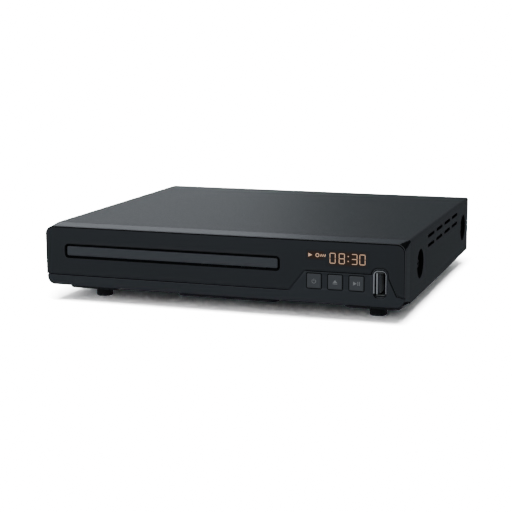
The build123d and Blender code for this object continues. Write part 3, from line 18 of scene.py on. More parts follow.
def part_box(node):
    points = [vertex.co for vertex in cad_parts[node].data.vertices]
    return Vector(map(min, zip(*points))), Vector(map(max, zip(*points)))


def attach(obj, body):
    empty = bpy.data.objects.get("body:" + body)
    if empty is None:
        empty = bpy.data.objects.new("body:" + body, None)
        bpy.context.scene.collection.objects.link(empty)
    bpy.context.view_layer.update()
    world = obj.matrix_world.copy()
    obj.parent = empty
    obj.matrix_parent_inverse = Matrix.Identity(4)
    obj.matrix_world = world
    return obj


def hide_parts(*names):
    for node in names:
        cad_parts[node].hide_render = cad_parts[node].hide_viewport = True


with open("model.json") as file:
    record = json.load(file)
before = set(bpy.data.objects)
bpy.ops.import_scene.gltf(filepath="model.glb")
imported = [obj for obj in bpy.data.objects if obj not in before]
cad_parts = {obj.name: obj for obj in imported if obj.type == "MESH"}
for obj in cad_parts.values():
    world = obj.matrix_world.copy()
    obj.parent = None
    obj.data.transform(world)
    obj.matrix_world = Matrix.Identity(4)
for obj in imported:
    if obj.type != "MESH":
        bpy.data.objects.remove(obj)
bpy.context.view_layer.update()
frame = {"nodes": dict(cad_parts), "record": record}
MM = 0.001
nodes = frame["nodes"]
record = frame["record"]
body_of = {node: body for body, group in record["behaviour"]["bodies"].items() for node in group}
slot_of = {part["node"]: part["material_slot"] for part in record["subparts"]}

# %% [markdown]
# ## Colours and nodes
#
# A colour given here is an sRGB hex value, while Blender's sockets want linear light. One function
# turns the first into the second, so that every colour below can be read as hex. A second function
# adds one node with its settings and links, and every material here is built from it.

# %% Colour and node helpers
def linear(hex_colour):
    """An sRGB hex value as linear red, green, blue and alpha."""
    parts = [int(hex_colour[i:i + 2], 16) / 255 for i in (1, 3, 5)]
    light = [c / 12.92 if c <= 0.04045 else ((c + 0.055) / 1.055) ** 2.4 for c in parts]
    return (*light, 1.0)


def add_node(tree, kind, values=None, links=None, **settings):
    """One node: its settings, the values of its sockets and what feeds them."""
    node = tree.nodes.new(kind)
    for name, value in settings.items():
        setattr(node, name, value)
    for socket, value in (values or {}).items():
        node.inputs[socket].default_value = value
    for socket, source in (links or {}).items():
        tree.links.new(source, node.inputs[socket])
    return node


def new_material(name):
    """An empty material and its node tree."""
    material = bpy.data.materials.new(name)
    material.use_nodes = True
    material.node_tree.nodes.clear()
    return material, material.node_tree


print("black paint in linear light:", [round(c, 4) for c in linear("#2b2e31")])

# %% [markdown]
# ## A surface with grain
#
# Moulded ABS, powder paint, rubber and bare sheet differ in their numbers more than in their nodes.
# Each has a base colour that drifts a little over centimetres, a grain of a real size in millimetres
# that stands up as tiny bumps, and a gloss that the same grain breaks up.
# Object coordinates are metres here, so a noise whose scale is 1000 / size has features of that size.
# The finest spark-eroded grain is 0.1 mm, too fine for this picture, so most is drawn at 0.4 mm or
# more.

# %% Grained surface
def grained(name, dark, light, grain, depth, gloss, drift=30.0, stretch=(1, 1, 1), **sockets):
    """One material: two hex colours, the size and depth of its grain in mm, and a roughness span."""
    material, tree = new_material(name)
    place = add_node(tree, "ShaderNodeTexCoord")
    cloud = add_node(tree, "ShaderNodeTexNoise", {"Scale": 1000 / drift, "Detail": 3.0},
                     {"Vector": place.outputs["Object"]})
    aim = add_node(tree, "ShaderNodeMapping", {"Scale": stretch},
                   {"Vector": place.outputs["Object"]})
    fine = add_node(tree, "ShaderNodeTexNoise", {"Scale": 1000 / grain, "Detail": 2.0},
                    {"Vector": aim.outputs["Vector"]})
    blend = add_node(tree, "ShaderNodeMix", links={0: cloud.outputs["Fac"]}, data_type="RGBA")
    blend.inputs["A"].default_value = linear(dark)
    blend.inputs["B"].default_value = linear(light)
    rough = add_node(tree, "ShaderNodeMapRange",
                     {"From Min": 0.3, "From Max": 0.7, "To Min": gloss[0], "To Max": gloss[1]},
                     {"Value": fine.outputs["Fac"]})
    bump = add_node(tree, "ShaderNodeBump", {"Strength": 1.0, "Distance": depth * MM},
                    {"Height": fine.outputs["Fac"]})
    shader = add_node(tree, "ShaderNodeBsdfPrincipled", sockets,
                      {"Base Color": blend.outputs["Result"], "Roughness": rough.outputs["Result"],
                       "Normal": bump.outputs["Normal"]})
    add_node(tree, "ShaderNodeOutputMaterial", links={"Surface": shader.outputs["BSDF"]})
    return material


print("noise scale of a 0.5 mm grain:", 1000 / 0.5)

# %% [markdown]
# ## The outer finishes
#
# The cover and chassis are steel with a baked powder coat: a faint orange-peel skin and a satin
# gloss. The bezel, door and keys are ABS from a spark-eroded mould, which gives a fine even grain.
# The plate over the front is smoother, so it looks darker. Feet are moulded rubber, the mattest of
# all.

# %% Outer finishes
satin = {"Specular IOR Level": 0.42}
finishes = {
    "cover_steel": grained("Powder_coated_steel", "#181b1e", "#1c1f23", 0.9, 0.008, (0.44, 0.52)),
    "chassis_steel": grained("Black_coated_sheet", "#141517", "#191a1c", 0.9, 0.012, (0.5, 0.62)),
    "bezel_plastic": grained("Moulded_ABS", "#36393d", "#393c40", 0.5, 0.005, (0.36, 0.42),
                             **satin),
    "plate_plastic": grained("Satin_acrylic_sheet", "#2b2e31", "#2e3134", 0.6, 0.003, (0.4, 0.46),
                             **satin),
    "door_plastic": grained("Door_ABS", "#4e5154", "#525558", 0.5, 0.005, (0.4, 0.5), **satin),
    "key_plastic": grained("Key_ABS", "#555759", "#595b5d", 0.5, 0.005, (0.4, 0.5), **satin),
    "foot_rubber": grained("Foot_rubber", "#0d0e0f", "#121314", 0.6, 0.02, (0.7, 0.85)),
    # Near-black painted shade for recesses, bezel corners and the gaps round plate, door and keys.
    "painted_shade_black": grained("Near_black_painted_shade", "#030405", "#060708", 0.6, 0.01, (0.8, 0.9),
                            **{"Specular IOR Level": 0.15}),
    "screw_steel": grained("Black_oxide_steel", "#0c0d0e", "#121314", 0.6, 0.004, (0.35, 0.45),
                           Metallic=1.0),
}
print("outer finishes:", ", ".join(finishes))

# %% [markdown]
# ## The inner finishes
#
# Inside, moulded frames are black ABS or glass-filled nylon, gears are pale acetal, which is waxy,
# and boards are glass-epoxy laminate under green lacquer. Bare metals keep Blender's default index of
# refraction and take their colour from the metal: zinc is bluish, nickel is warm, gold is yellow.
# A drawn or ground metal has its grain stretched along one axis.

# %% Inner finishes
metal = {"Metallic": 1.0}
finishes.update({
    "bridge_steel": grained("Zinc_plated_sheet", "#85888b", "#9b9ea0", 1.5, 0.006, (0.3, 0.42),
                            **metal),
    "display_plastic": grained("Display_housing", "#0c0c0d", "#111112", 0.5, 0.004, (0.5, 0.6)),
    "receiver_plastic": grained("Infrared_window", "#1a0708", "#220a0b", 0.5, 0.002, (0.1, 0.16)),
    "board_green": grained("Lacquered_laminate", "#0d4a23", "#135a2b", 0.8, 0.006, (0.28, 0.4)),
    "switch_plastic": grained("Switch_nylon", "#1a1b1c", "#222324", 0.4, 0.005, (0.5, 0.62)),
    "plated_steel": grained("Nickel_plated_steel", "#a9aaa6", "#bbbcb7", 0.8, 0.003, (0.22, 0.32),
                            **metal),
    "tongue_plastic": grained("Contact_tongue_nylon", "#33373a", "#3a3e41", 0.4, 0.003,
                              (0.4, 0.5)),
    "frame_plastic": grained("Frame_ABS", "#1c1d1f", "#242528", 0.6, 0.01, (0.5, 0.65)),
    "tray_plastic": grained("Tray_ABS", "#1b1c1e", "#222326", 0.5, 0.008, (0.48, 0.6)),
    "puck_plastic": grained("Clamp_acetal", "#28292b", "#303133", 0.5, 0.005, (0.4, 0.5)),
    "damper_rubber": grained("Damper_rubber", "#6b2a22", "#7b332a", 0.6, 0.02, (0.6, 0.75)),
    "traverse_plastic": grained("Glass_filled_nylon", "#2b2c2e", "#343537", 0.6, 0.012,
                                (0.5, 0.65)),
    "pickup_metal": grained("Die_cast_zinc", "#808385", "#949698", 0.9, 0.01, (0.35, 0.5), **metal),
    "lens_glass": grained("Coated_lens_glass", "#4a5f92", "#6179ab", 2.0, 0.0, (0.03, 0.05),
                          IOR=1.6),
    "polished_steel": grained("Ground_steel", "#b4b6b9", "#c6c8ca", 0.3, 0.001, (0.14, 0.22),
                              stretch=(0.05, 1, 1), **metal),
    "gear_plastic": grained("Acetal", "#cfcab9", "#dbd6c6", 0.6, 0.004, (0.35, 0.45)),
    "belt_rubber": grained("Belt_rubber", "#121212", "#191919", 0.5, 0.01, (0.6, 0.75)),
    "chip_plastic": grained("Chip_epoxy", "#17181a", "#1f2022", 0.4, 0.006, (0.45, 0.6)),
    "connector_plastic": grained("Connector_nylon", "#d6d0be", "#e0dbcb", 0.5, 0.004, (0.4, 0.5)),
    "capacitor_aluminium": grained("Capacitor_sleeve", "#171b2b", "#1f2437", 0.8, 0.003,
                                   (0.25, 0.35)),
    "ferrite": grained("Ferrite", "#2c2b2b", "#363535", 0.5, 0.012, (0.5, 0.65)),
    "heatsink_aluminium": grained("Bare_aluminium", "#a8a9aa", "#babbbc", 0.8, 0.006, (0.3, 0.42),
                                  stretch=(1, 1, 0.06), **metal),
    "fuse_glass": grained("Fuse_glass", "#a9aba5", "#bbbdb7", 2.0, 0.002, (0.08, 0.14)),
    "socket_plastic": grained("Socket_nylon", "#141516", "#1b1c1d", 0.5, 0.006, (0.45, 0.6)),
    "jack_brass": grained("Gold_plated_brass", "#bd9742", "#cda955", 0.6, 0.003, (0.2, 0.3),
                          **metal),
    "ribbon_plastic": grained("Flat_cable", "#c4c6c6", "#d0d2d2", 1.0, 0.01, (0.35, 0.45),
                              stretch=(1, 0.03, 0.03)),
    "wire_plastic": grained("Wire_PVC", "#7a1512", "#8a1b17", 0.8, 0.004, (0.35, 0.45)),
})
for node, piece in nodes.items():
    piece.data.materials.clear()
    piece.data.materials.append(finishes[slot_of[node]])
print("finishes:", len(finishes))

# %% [markdown]
# ## Light from the display and ink on the keys
#
# The clock is made of amber light-emitting bars behind a smoked sheet. A lit bar is brightest over
# the chip inside it, so its light drifts a little along the bar. The signs on the keys are
# pad-printed in pale grey ink, which is matt and slightly uneven.

# %% Display and ink finishes
def glowing(name, core, edge, strength):
    """A lit bar: light whose colour drifts from the chip's colour to the colour at its ends."""
    material, tree = new_material(name)
    place = add_node(tree, "ShaderNodeTexCoord")
    chip_size = 1.2
    cloud = add_node(tree, "ShaderNodeTexNoise", {"Scale": 1000 / chip_size, "Detail": 1.0},
                     {"Vector": place.outputs["Object"]})
    blend = add_node(tree, "ShaderNodeMix", links={0: cloud.outputs["Fac"]}, data_type="RGBA")
    blend.inputs["A"].default_value = linear(core)
    blend.inputs["B"].default_value = linear(edge)
    light = blend.outputs["Result"]
    shader = add_node(tree, "ShaderNodeBsdfPrincipled",
                      {"Roughness": 0.5, "Emission Strength": strength},
                      {"Base Color": light, "Emission Color": light})
    add_node(tree, "ShaderNodeOutputMaterial", links={"Surface": shader.outputs["BSDF"]})
    return material


lit_bar = glowing("Lit_amber_bar", "#e2bb9c", "#c9a081", 0.72)
key_ink = grained("Pale_grey_ink", "#a0a09f", "#aeaeac", 0.4, 0.002, (0.5, 0.6))
bright_nickel = grained("Bright_nickel", "#dcdddd", "#e4e5e5", 0.8, 0.001, (0.28, 0.36), **metal)
print("made:", lit_bar.name, key_ink.name, bright_nickel.name)

# %% [markdown]
# ## Showing a piece
#
# Every shape below starts as a bmesh, Blender's editable mesh. One function turns it into an object,
# smooths it across gentle angles, keeps its corners crisp and lets it ride on a moving body. Weighted
# normals make large flat faces stay flat right up to a small rounded edge.

# %% Showing a piece
def place_in_scene(name, data):
    """An object for a mesh, a lamp or a camera."""
    thing = bpy.data.objects.new(name, data)
    bpy.context.scene.collection.objects.link(thing)
    return thing


def show(name, shape, finish, body, sharp=42):
    """A bmesh as a shaded piece that rides on a body."""
    mesh = bpy.data.meshes.new(name)
    shape.to_mesh(mesh)
    shape.free()
    mesh.materials.append(finish)
    for face in mesh.polygons:
        face.use_smooth = True
    mesh.set_sharp_from_angle(angle=radians(sharp))
    piece = place_in_scene(name, mesh)
    shading = piece.modifiers.new("even_shading", "WEIGHTED_NORMAL")
    shading.keep_sharp = True
    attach(piece, body)
    return piece


print("pieces to dress:", len(nodes))

# %% [markdown]
# ## Rounded edges for the solids
#
# No moulded or folded edge is perfectly sharp. A rounded edge, even one of a quarter of a millimetre,
# catches a thin line of light, and that line is what makes a solid look real. The CAD mesh is made of
# triangles, so a copy of it is welded, its flat areas become single faces, and then the sharp edges
# are bevelled. The copy stands for the CAD node, which keeps its own mesh.

# %% Rounded copies
def weld(shape, reach):
    """Join the points that lie closer than a reach in mm."""
    bmesh.ops.remove_doubles(shape, verts=shape.verts[:], dist=reach * MM)


def welded_copy(node):
    """A CAD node's mesh as a bmesh whose triangles share their points."""
    shape = bmesh.new()
    shape.from_mesh(nodes[node].data)
    weld(shape, 0.002)
    return shape


def round_edges(shape, edges, radius, steps=2):
    """Bevel some edges by a radius in mm."""
    bmesh.ops.bevel(shape, geom=edges, offset=radius * MM, offset_type="OFFSET", segments=steps,
                    profile=0.5, affect="EDGES", clamp_overlap=False)


def stand_in(node, shape, sharp=42):
    """Show a shape in place of a CAD node, with the node's finish and body."""
    slot = slot_of[node]
    piece = show(f"{node}_finished", shape, finishes[slot], body_of[node], sharp)
    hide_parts(node)
    return piece


def rounded(node, edge, steps=2, angle=38, shift=None):
    """A copy of a CAD node with its sharp edges rounded by a radius in mm."""
    shape = welded_copy(node)
    flat = radians(0.6)
    bmesh.ops.dissolve_limit(shape, angle_limit=flat, verts=shape.verts[:], edges=shape.edges[:])
    crisp = [e for e in shape.edges if e.is_manifold and e.calc_face_angle() > radians(angle)]
    round_edges(shape, crisp, edge, steps)
    bmesh.ops.triangulate(shape, faces=shape.faces[:])
    if shift:
        for vertex in shape.verts:
            vertex.co = shift(vertex.co)
    return stand_in(node, shape)


def set_back(point):
    """Leave a hair's breadth in front of the plate for the lit bars."""
    if point.y >= plate_front + 0.05 * MM:
        return point
    return Vector((point.x, point.y + 0.03 * MM, point.z))


plate_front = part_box("front_plate")[0].y
rounded("front_plate", 0.2, shift=set_back)
bezel = rounded("front_bezel", 0.3)
rounded("tray_door", 0.3, steps=3)
keys = ("power", "eject", "play")
for key in keys:
    rounded(f"button_{key}", 0.3, steps=3)
rounded("rear_panel", 0.12)
rounded("bottom_chassis", 0.25)
cover = rounded("top_cover", 0.15)
for corner in ("front_left", "front_right", "rear_left", "rear_right"):
    rounded(f"foot_{corner}", 0.7, steps=4)

# %% [markdown]
# ## The pressed screw recesses
#
# The cover has two round recesses on each side, 3 mm deep, with a screw in each. Little light gets
# into such a pressing, and that shade is painted: the faces inside the recesses get a matt,
# near-black finish as painted shade. They are found by where they are: inboard of the side and close
# to a recess's axis.

# %% Recess paint
front_y = plate_front / MM
side_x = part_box("top_cover")[1].x / MM
recess_z, recess_reach, recess_floor, side_skin = 30.4, 9.0, 4.2, 0.06
recess_y = (front_y + 41.5, front_y + 180.0)
cover.data.materials.append(finishes["painted_shade_black"])
painted = 0
for face in cover.data.polygons:
    x, y, z = (value / MM for value in face.center)
    sunk = side_x - recess_floor < abs(x) < side_x - side_skin
    near_axis = any((y - middle) ** 2 + (z - recess_z) ** 2 < recess_reach ** 2
                    for middle in recess_y)
    if sunk and near_axis:
        # The faces in a recess get the near-black painted shade.
        face.material_index = 1
        painted += 1
print("recess faces painted:", painted)

# %% [markdown]
# ## The bezel's sides and corners
#
# The bezel's sides face away from the lamps, and their shade is painted: they get a darker copy of
# the bezel's finish, close to the cover's tone, so that the seam between plastic and steel doesn't
# show as a change of tone. The face and the top keep the bare moulded finish. At each corner the
# outline twists from a round bend into the sharp fold of the cover, and that small twisted facet gets
# the near-black painted shade, the darkest place of all. Faces are sorted by their direction, and a
# corner face looks outwards and also up or down.

# %% Sides and corners
bezel_depth = 15
seam = plate_front + bezel_depth * MM
side_painted_shade = grained("Bezel_side_painted_shade", "#23272b", "#272b2f", 0.6, 0.006, (0.42, 0.5))
bezel.data.materials.append(side_painted_shade)
bezel.data.materials.append(finishes["painted_shade_black"])
sorted_faces = {"sides": 0, "corners": 0}
for face in bezel.data.polygons:
    look = face.normal
    if face.center.y > seam or look.y > 0.3 or abs(look.y) > 0.5:
        continue
    # Corner facets take the near-black painted shade, and sides the darker painted shade.
    if abs(look.x) > 0.3 and abs(look.z) > 0.28:
        face.material_index = 2
        sorted_faces["corners"] += 1
    elif abs(look.x) > 0.6:
        face.material_index = 1
        sorted_faces["sides"] += 1
print("bezel faces sorted:", sorted_faces)

# %% [markdown]
# ## Rounded pieces inside
#
# The loader, the boards and the sockets get the same rounding, each with the radius that its own
# process leaves: about 0.35 mm on moulded frames, 0.2 mm on turned and cast pieces, and 0.1 mm on
# stamped sheet and sawn laminate.

# %% Rounded pieces inside
moulded = ("disc_tray", "loader_frame", "lift_frame", "traverse_deck", "cam_slider",
           "display_module", "jack_blocks", "ac_inlet", "scart_socket", "transformer", "dampers")
machined = ("optical_pickup", "turntable", "clamp_puck", "spindle_motor", "sled_motor",
            "loading_motor", "capacitors", "board_connectors", "tact_switches")
stamped = ("clamp_bridge", "hdmi_socket", "heatsink", "board_chips", "main_board", "power_board",
           "front_board")
for group, edge in ((moulded, 0.35), (machined, 0.2), (stamped, 0.1)):
    for node in group:
        rounded(node, edge)
    print(len(group), "pieces rounded by", edge, "mm")

# %% [markdown]
# ## Flat figures
#
# The clock's bars, the signs on the keys and the contacts of the sockets are thin flat figures. Each
# is a closed line of points, seen from the front, that is filled and given a little thickness.

# %% Flat figures
def close_between(shape, near, far):
    """Fill two matching rings of points and join them with faces."""
    shape.faces.new(near)
    shape.faces.new(list(reversed(far)))
    for index in range(len(near)):
        after = (index + 1) % len(near)
        shape.faces.new((near[after], near[index], far[index], far[after]))


def add_figure(shape, points, depths):
    """Fill a closed line of (x, z) points in mm and give it thickness between two depths in mm."""
    near, far = ([shape.verts.new((x * MM, y * MM, z * MM)) for x, z in points] for y in depths)
    close_between(shape, near, far)


def panel_points(x, z):
    """A rectangle between two x and two z."""
    return [(x[0], z[0]), (x[1], z[0]), (x[1], z[1]), (x[0], z[1])]


def add_panel(shape, x, z, depths):
    """A flat rectangle between two x and two z in mm."""
    add_figure(shape, panel_points(x, z), depths)


def under_face(near, far):
    """Two depths in mm, counted from the plate's face towards the back."""
    return front_y + near, front_y + far


def bar_points(start, end, width):
    """A straight bar with pointed ends, as the bars of a clock have."""
    run = Vector(end) - Vector(start)
    along = run.normalized() * width / 2
    across = Vector((-along.y, along.x))
    a, b = Vector(start), Vector(end)
    corners = (a, a + along + across, b - along + across,
               b, b - along - across, a + along - across)
    return [tuple(corner) for corner in corners]


def arc_points(centre, radius, width, start, end, steps=20):
    """A curved bar round a centre, between two angles in degrees."""
    inner, outer = radius - width / 2, radius + width / 2
    angles = [radians(start + (end - start) * step / steps) for step in range(steps + 1)]
    line = [(centre[0] + outer * cos(a), centre[1] + outer * sin(a)) for a in angles]
    back = reversed(angles)
    return line + [(centre[0] + inner * cos(a), centre[1] + inner * sin(a)) for a in back]


def finish_shape(name, shape, finish, body="case", sharp=42):
    """Turn a shape's faces outwards and show it."""
    bmesh.ops.recalc_face_normals(shape, faces=shape.faces[:])
    return show(name, shape, finish, body, sharp)


print("a pointed bar has", len(bar_points((0, 0), (1, 0), 0.2)), "points")

# %% [markdown]
# ## The clock
#
# Each digit has seven bars. Its lowest bar stands 36 mm over the table, and the digit is 6 mm tall.
# A small play mark and a plain ring for a disc, with three strokes, sit to the left, as on many
# players.

# %% Clock
bars = {"a": ((0, 2), (1, 2)), "b": ((1, 2), (1, 1)), "c": ((1, 1), (1, 0)), "d": ((0, 0), (1, 0)),
        "e": ((0, 1), (0, 0)), "f": ((0, 2), (0, 1)), "g": ((0, 1), (1, 1))}
digits = {"0": "abcdef", "8": "abcdefg", "3": "abcdg"}
lit_depths = under_face(0.003, 0.2)
digit_wide, digit_tall, bar_wide, bar_gap, digit_low = 3.1, 5.7, 0.42, 0.08, 35.75


def add_digit(shape, figure, left):
    """The lit bars of one digit whose left bars' middle is at a place in mm."""
    for letter in digits[figure]:
        first, last = (Vector((left + u * digit_wide, digit_low + v * digit_tall / 2))
                       for u, v in bars[letter])
        inset = (last - first).normalized() * bar_gap
        add_figure(shape, bar_points(first + inset, last - inset, bar_wide), lit_depths)


clock = bmesh.new()
for figure, left in (("0", 69.15), ("8", 74.55), ("3", 81.9), ("0", 86.6)):
    add_digit(clock, figure, left)
colon_x, dot_radius, dot_wide = 79.9, 0.18, 0.34
for height in (40.1, 37.3):
    add_figure(clock, arc_points((colon_x, height), dot_radius, dot_wide, 0, 359, 12), lit_depths)
mark_z, disc_radius = 39.9, 0.95
add_figure(clock, [(56.3, 38.8), (56.3, 41.0), (58.7, mark_z)], lit_depths)
add_figure(clock, arc_points((61.7, mark_z), disc_radius, bar_wide, 0, 359, 28), lit_depths)
for left in (63.6, 64.8, 66.0):
    add_figure(clock, bar_points((left, 39.1), (left + 0.5, 40.7), 0.5), lit_depths)
finish_shape("clock_lit_bars", clock, lit_bar)
print("clock: 8.30, with bars", bar_wide, "mm wide")

# %% [markdown]
# ## The haze round the clock
#
# Light from the bars scatters inside the smoked sheet and leaves a brown haze round them. It is a
# thin figure that has the plate's own colour at its rim and turns brown towards the middle, so its
# outline can't be seen. The distance to the middle is worked out from object coordinates.

# %% Haze
def hazy(name, sheet, haze, middle, reach):
    """The plate's finish with a brown haze inside a box given by its middle and reach in mm."""
    material, tree = new_material(name)
    place = add_node(tree, "ShaderNodeTexCoord")
    spot = add_node(tree, "ShaderNodeSeparateXYZ", links={0: place.outputs["Object"]})
    far = []
    for axis, centre, half in (("X", middle[0], reach[0]), ("Z", middle[1], reach[1])):
        gap = add_node(tree, "ShaderNodeMath", {1: centre * MM}, {0: spot.outputs[axis]},
                       operation="SUBTRACT")
        share = add_node(tree, "ShaderNodeMath", {1: 1 / (half * MM)}, {0: gap.outputs[0]},
                         operation="MULTIPLY")
        size = add_node(tree, "ShaderNodeMath", links={0: share.outputs[0]}, operation="ABSOLUTE")
        far.append(size.outputs[0])
    most = add_node(tree, "ShaderNodeMath", links={0: far[0], 1: far[1]}, operation="MAXIMUM")
    fade = add_node(tree, "ShaderNodeMapRange",
                    {"From Min": 0.5, "From Max": 1.0, "To Min": 1.0, "To Max": 0.0},
                    {"Value": most.outputs[0]}, interpolation_type="SMOOTHSTEP")
    cloud_size = 3.0
    cloud = add_node(tree, "ShaderNodeTexNoise", {"Scale": 1000 / cloud_size},
                     {"Vector": place.outputs["Object"]})
    uneven = add_node(tree, "ShaderNodeMapRange", {"To Min": 0.75, "To Max": 1.2},
                      {"Value": cloud.outputs["Fac"]})
    amount = add_node(tree, "ShaderNodeMath",
                      links={0: fade.outputs["Result"], 1: uneven.outputs["Result"]},
                      operation="MULTIPLY", use_clamp=True)
    blend = add_node(tree, "ShaderNodeMix", links={0: amount.outputs[0]}, data_type="RGBA")
    blend.inputs["A"].default_value = linear(sheet)
    blend.inputs["B"].default_value = linear(haze)
    glow = add_node(tree, "ShaderNodeMix", links={0: amount.outputs[0]}, data_type="RGBA")
    glow.inputs["A"].default_value = linear("#000000")
    glow.inputs["B"].default_value = linear("#5a3414")
    shader = add_node(tree, "ShaderNodeBsdfPrincipled",
                      {"Roughness": 0.43, "Emission Strength": 0.14, **satin},
                      {"Base Color": blend.outputs["Result"],
                       "Emission Color": glow.outputs["Result"]})
    add_node(tree, "ShaderNodeOutputMaterial", links={"Surface": shader.outputs["BSDF"]})
    return material


for name, x, z, middle, reach in (
        ("clock_haze", (66.4, 92.6), (33.4, 43.8), (79.5, 38.6), (13.0, 5.1)),
        ("mark_haze", (54.4, 66.4), (36.8, 43.0), (60.7, 39.9), (6.2, 3.0))):
    sheet = bmesh.new()
    add_panel(sheet, x, z, under_face(0.015, 0.2))
    finish = hazy(name.capitalize(), "#272b2f", "#170c05", middle, reach)
    finish_shape(name, sheet, finish)
    print(name, "is", round(x[1] - x[0], 1), "by", round(z[1] - z[0], 1), "mm")

# %% [markdown]
# ## The painted shadow along the plate's edge
#
# A thin shadow gap lies under the brow along the plate's rim, and that shadow is painted as a fine
# near-black line that follows the top of the face and turns down both corners, thinner on the right.

# %% Plate edge
def arch(inset, right, low, bend=5.0, steps=12):
    """The plate's outline over its top, set in by some mm, which change down the right side."""
    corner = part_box("front_plate")[1]
    x, z = corner.x / MM - bend, corner.z / MM - bend
    line = [(-x - bend + inset, low)]
    for step in range(steps + 1):
        angle = radians(180 - 90 * step / steps)
        line.append((-x + (bend - inset) * cos(angle), z + (bend - inset) * sin(angle)))
    for step in range(steps + 1):
        angle, here = radians(90 - 90 * step / steps), inset + (right - inset) * step / steps
        line.append((x + (bend - here) * cos(angle), z + (bend - here) * sin(angle)))
    return line + [(x + bend - right, low)]


def add_band(shape, first, second, depths):
    """A flat band between two matching lines of points."""
    for a, b, c, d in zip(first, first[1:], second[1:], second):
        add_figure(shape, [a, b, c, d], depths)
    weld(shape, 0.001)


edge_line = bmesh.new()
edge_depths, edge_low = under_face(0.018, 0.25), 18.6
outer, inner = arch(0.05, 0.05, edge_low), arch(0.7, 0.32, edge_low)
inner[0], inner[-1] = (outer[0][0] + 0.2, edge_low), (outer[-1][0] - 0.12, edge_low)
add_band(edge_line, outer, inner, edge_depths)
# The line is painted shadow, in the near-black finish.
finish_shape("plate_painted_shadow_line", edge_line, finishes["painted_shade_black"])
print("edge line points:", len(outer))

# %% [markdown]
# ## The lip at the control panel's slanted end
#
# A fine groove parts the plate from the control panel. Only at the panel's slanted left end a lip
# of the bezel fills it, so there the two tones meet without a dark line. The lip is one thin strip
# that lies in the groove, an eighth of a millimetre under the panel's face.

# %% Slanted lip
slant_foot, slant_head = Vector((44.5, 18.8)), Vector((53.8, 30.7))
along = (slant_head - slant_foot).normalized()
inward = Vector((along.y, -along.x))
past, outer_side, inner_side = along * 0.3, inward * 0.2, inward * 0.8
low_end, high_end = slant_foot - past, slant_head + past
strip = (low_end - outer_side, high_end - outer_side, high_end + inner_side, low_end + inner_side)
slant = bmesh.new()
add_figure(slant, strip, under_face(0.62, 1.6))
round_edges(slant, slant.edges[:], 0.06)
finish_shape("panel_slant_lip", slant, finishes["bezel_plastic"])
print("lip along the slanted end:", round((slant_head - slant_foot).length, 1), "mm")

# %% [markdown]
# ## Painted shadow round the door and the keys
#
# The gaps round the door's slot and round the keys fall in shade, and that shade is painted as
# near-black rings. They read as dark outlines that set the lighter door and keys off the face. Each
# is a flat ring, drawn as two rounded outlines with faces between them.

# %% Opening outlines
def corner_line(box, grow, bend, steps=6):
    """A closed rounded rectangle, grown by some mm round (left, right, low, high) in mm."""
    left, right, low, high = box[0] - grow, box[1] + grow, box[2] - grow, box[3] + grow
    bend, line = bend + grow, []
    for cx, cz, start in ((right - bend, high - bend, 0), (left + bend, high - bend, 90),
                          (left + bend, low + bend, 180), (right - bend, low + bend, 270)):
        for step in range(steps + 1):
            angle = radians(start + 90 * step / steps)
            line.append((cx + bend * cos(angle), cz + bend * sin(angle)))
    return line + line[:1]


def add_outline(shape, box, bend, near, far, depths):
    """A flat ring between two growths of a box."""
    add_band(shape, corner_line(box, near, bend), corner_line(box, far, bend), depths)


def middle_of(node):
    """The middle of a node seen from the front, in mm: x and z."""
    low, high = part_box(node)
    return (low.x + high.x) / 2 / MM, (low.z + high.z) / 2 / MM


slot_ring = bmesh.new()
low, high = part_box("tray_door")
door = (low.x / MM, high.x / MM, low.z / MM, high.z / MM)
add_outline(slot_ring, door, 1.0, 0.85, 1.5, edge_depths)
# The slot's ring is painted shadow.
finish_shape("slot_painted_shadow", slot_ring, finishes["painted_shade_black"])
key_rings = bmesh.new()
key_half, key_bend = 4.2, 0.6
for key in keys:
    x, z = middle_of(f"plunger_{key}")
    opening = (x - key_half, x + key_half, z - key_half, z + key_half)
    add_outline(key_rings, opening, key_bend, 0.2, 0.5, under_face(0.49, 0.7))
# The rings round the keys are painted shadow.
finish_shape("key_opening_painted_shadow", key_rings, finishes["painted_shade_black"])
print("outlines drawn round the slot and", len(keys), "keys")

# %% [markdown]
# ## The signs on the keys
#
# The three keys carry the usual signs: a broken ring with a bar for power, a triangle over a bar for
# eject, and a triangle with two bars for play and pause. The ink lies 0.02 mm proud.

# %% Key signs
signs = {
    "power": [arc_points((0, -0.1), 1.15, 0.3, 125, 415), panel_points((-0.15, 0.15), (0.1, 1.45))],
    "eject": [[(-1.4, -0.35), (1.4, -0.35), (0, 1.3)], panel_points((-1.4, 1.4), (-1.15, -0.75))],
    "play": [[(-1.9, -1.2), (-1.9, 1.2), (0.2, 0)], panel_points((0.65, 1.05), (-1.2, 1.2)),
             panel_points((1.6, 2.0), (-1.2, 1.2))],
}
for key, figures in signs.items():
    x, z = middle_of(f"button_{key}")[0], middle_of(f"plunger_{key}")[1]
    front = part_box(f"button_{key}")[0].y / MM
    shape = bmesh.new()
    for points in figures:
        add_figure(shape, [(x + px, z + pz) for px, pz in points], (front - 0.02, front + 0.2))
    finish_shape(f"sign_{key}", shape, key_ink, f"{key}_key")
    print(key, "sign at", round(x, 1), round(z, 1), "mm")

# %% [markdown]
# ## The rim of the USB port
#
# A bright bow lines the top and both sides of the port's mouth. It is a plated strip with a flat land
# between two small slopes, so each side catches one line of light, finest over the top and on the
# right. A folded lip of the metal shell shows beside the contact tongue, whose side that looks right
# carries a painted highlight in pale grey. The bow is swept: its small section is carried along the
# mouth's outline.

# %% USB rim
def bow_line(half, low, high, bend, steps=8):
    """An upright bow, low right over the top to low left: x, z and the direction outwards."""
    line = [(half, low, 1.0, 0.0)]
    for side, start in ((1, 0), (-1, 90)):
        for step in range(steps + 1):
            angle = radians(start + 90 * step / steps)
            x, z = side * (half - bend) + bend * cos(angle), high - bend + bend * sin(angle)
            line.append((x, z, cos(angle), sin(angle)))
    return line + [(-half, low, -1.0, 0.0)]


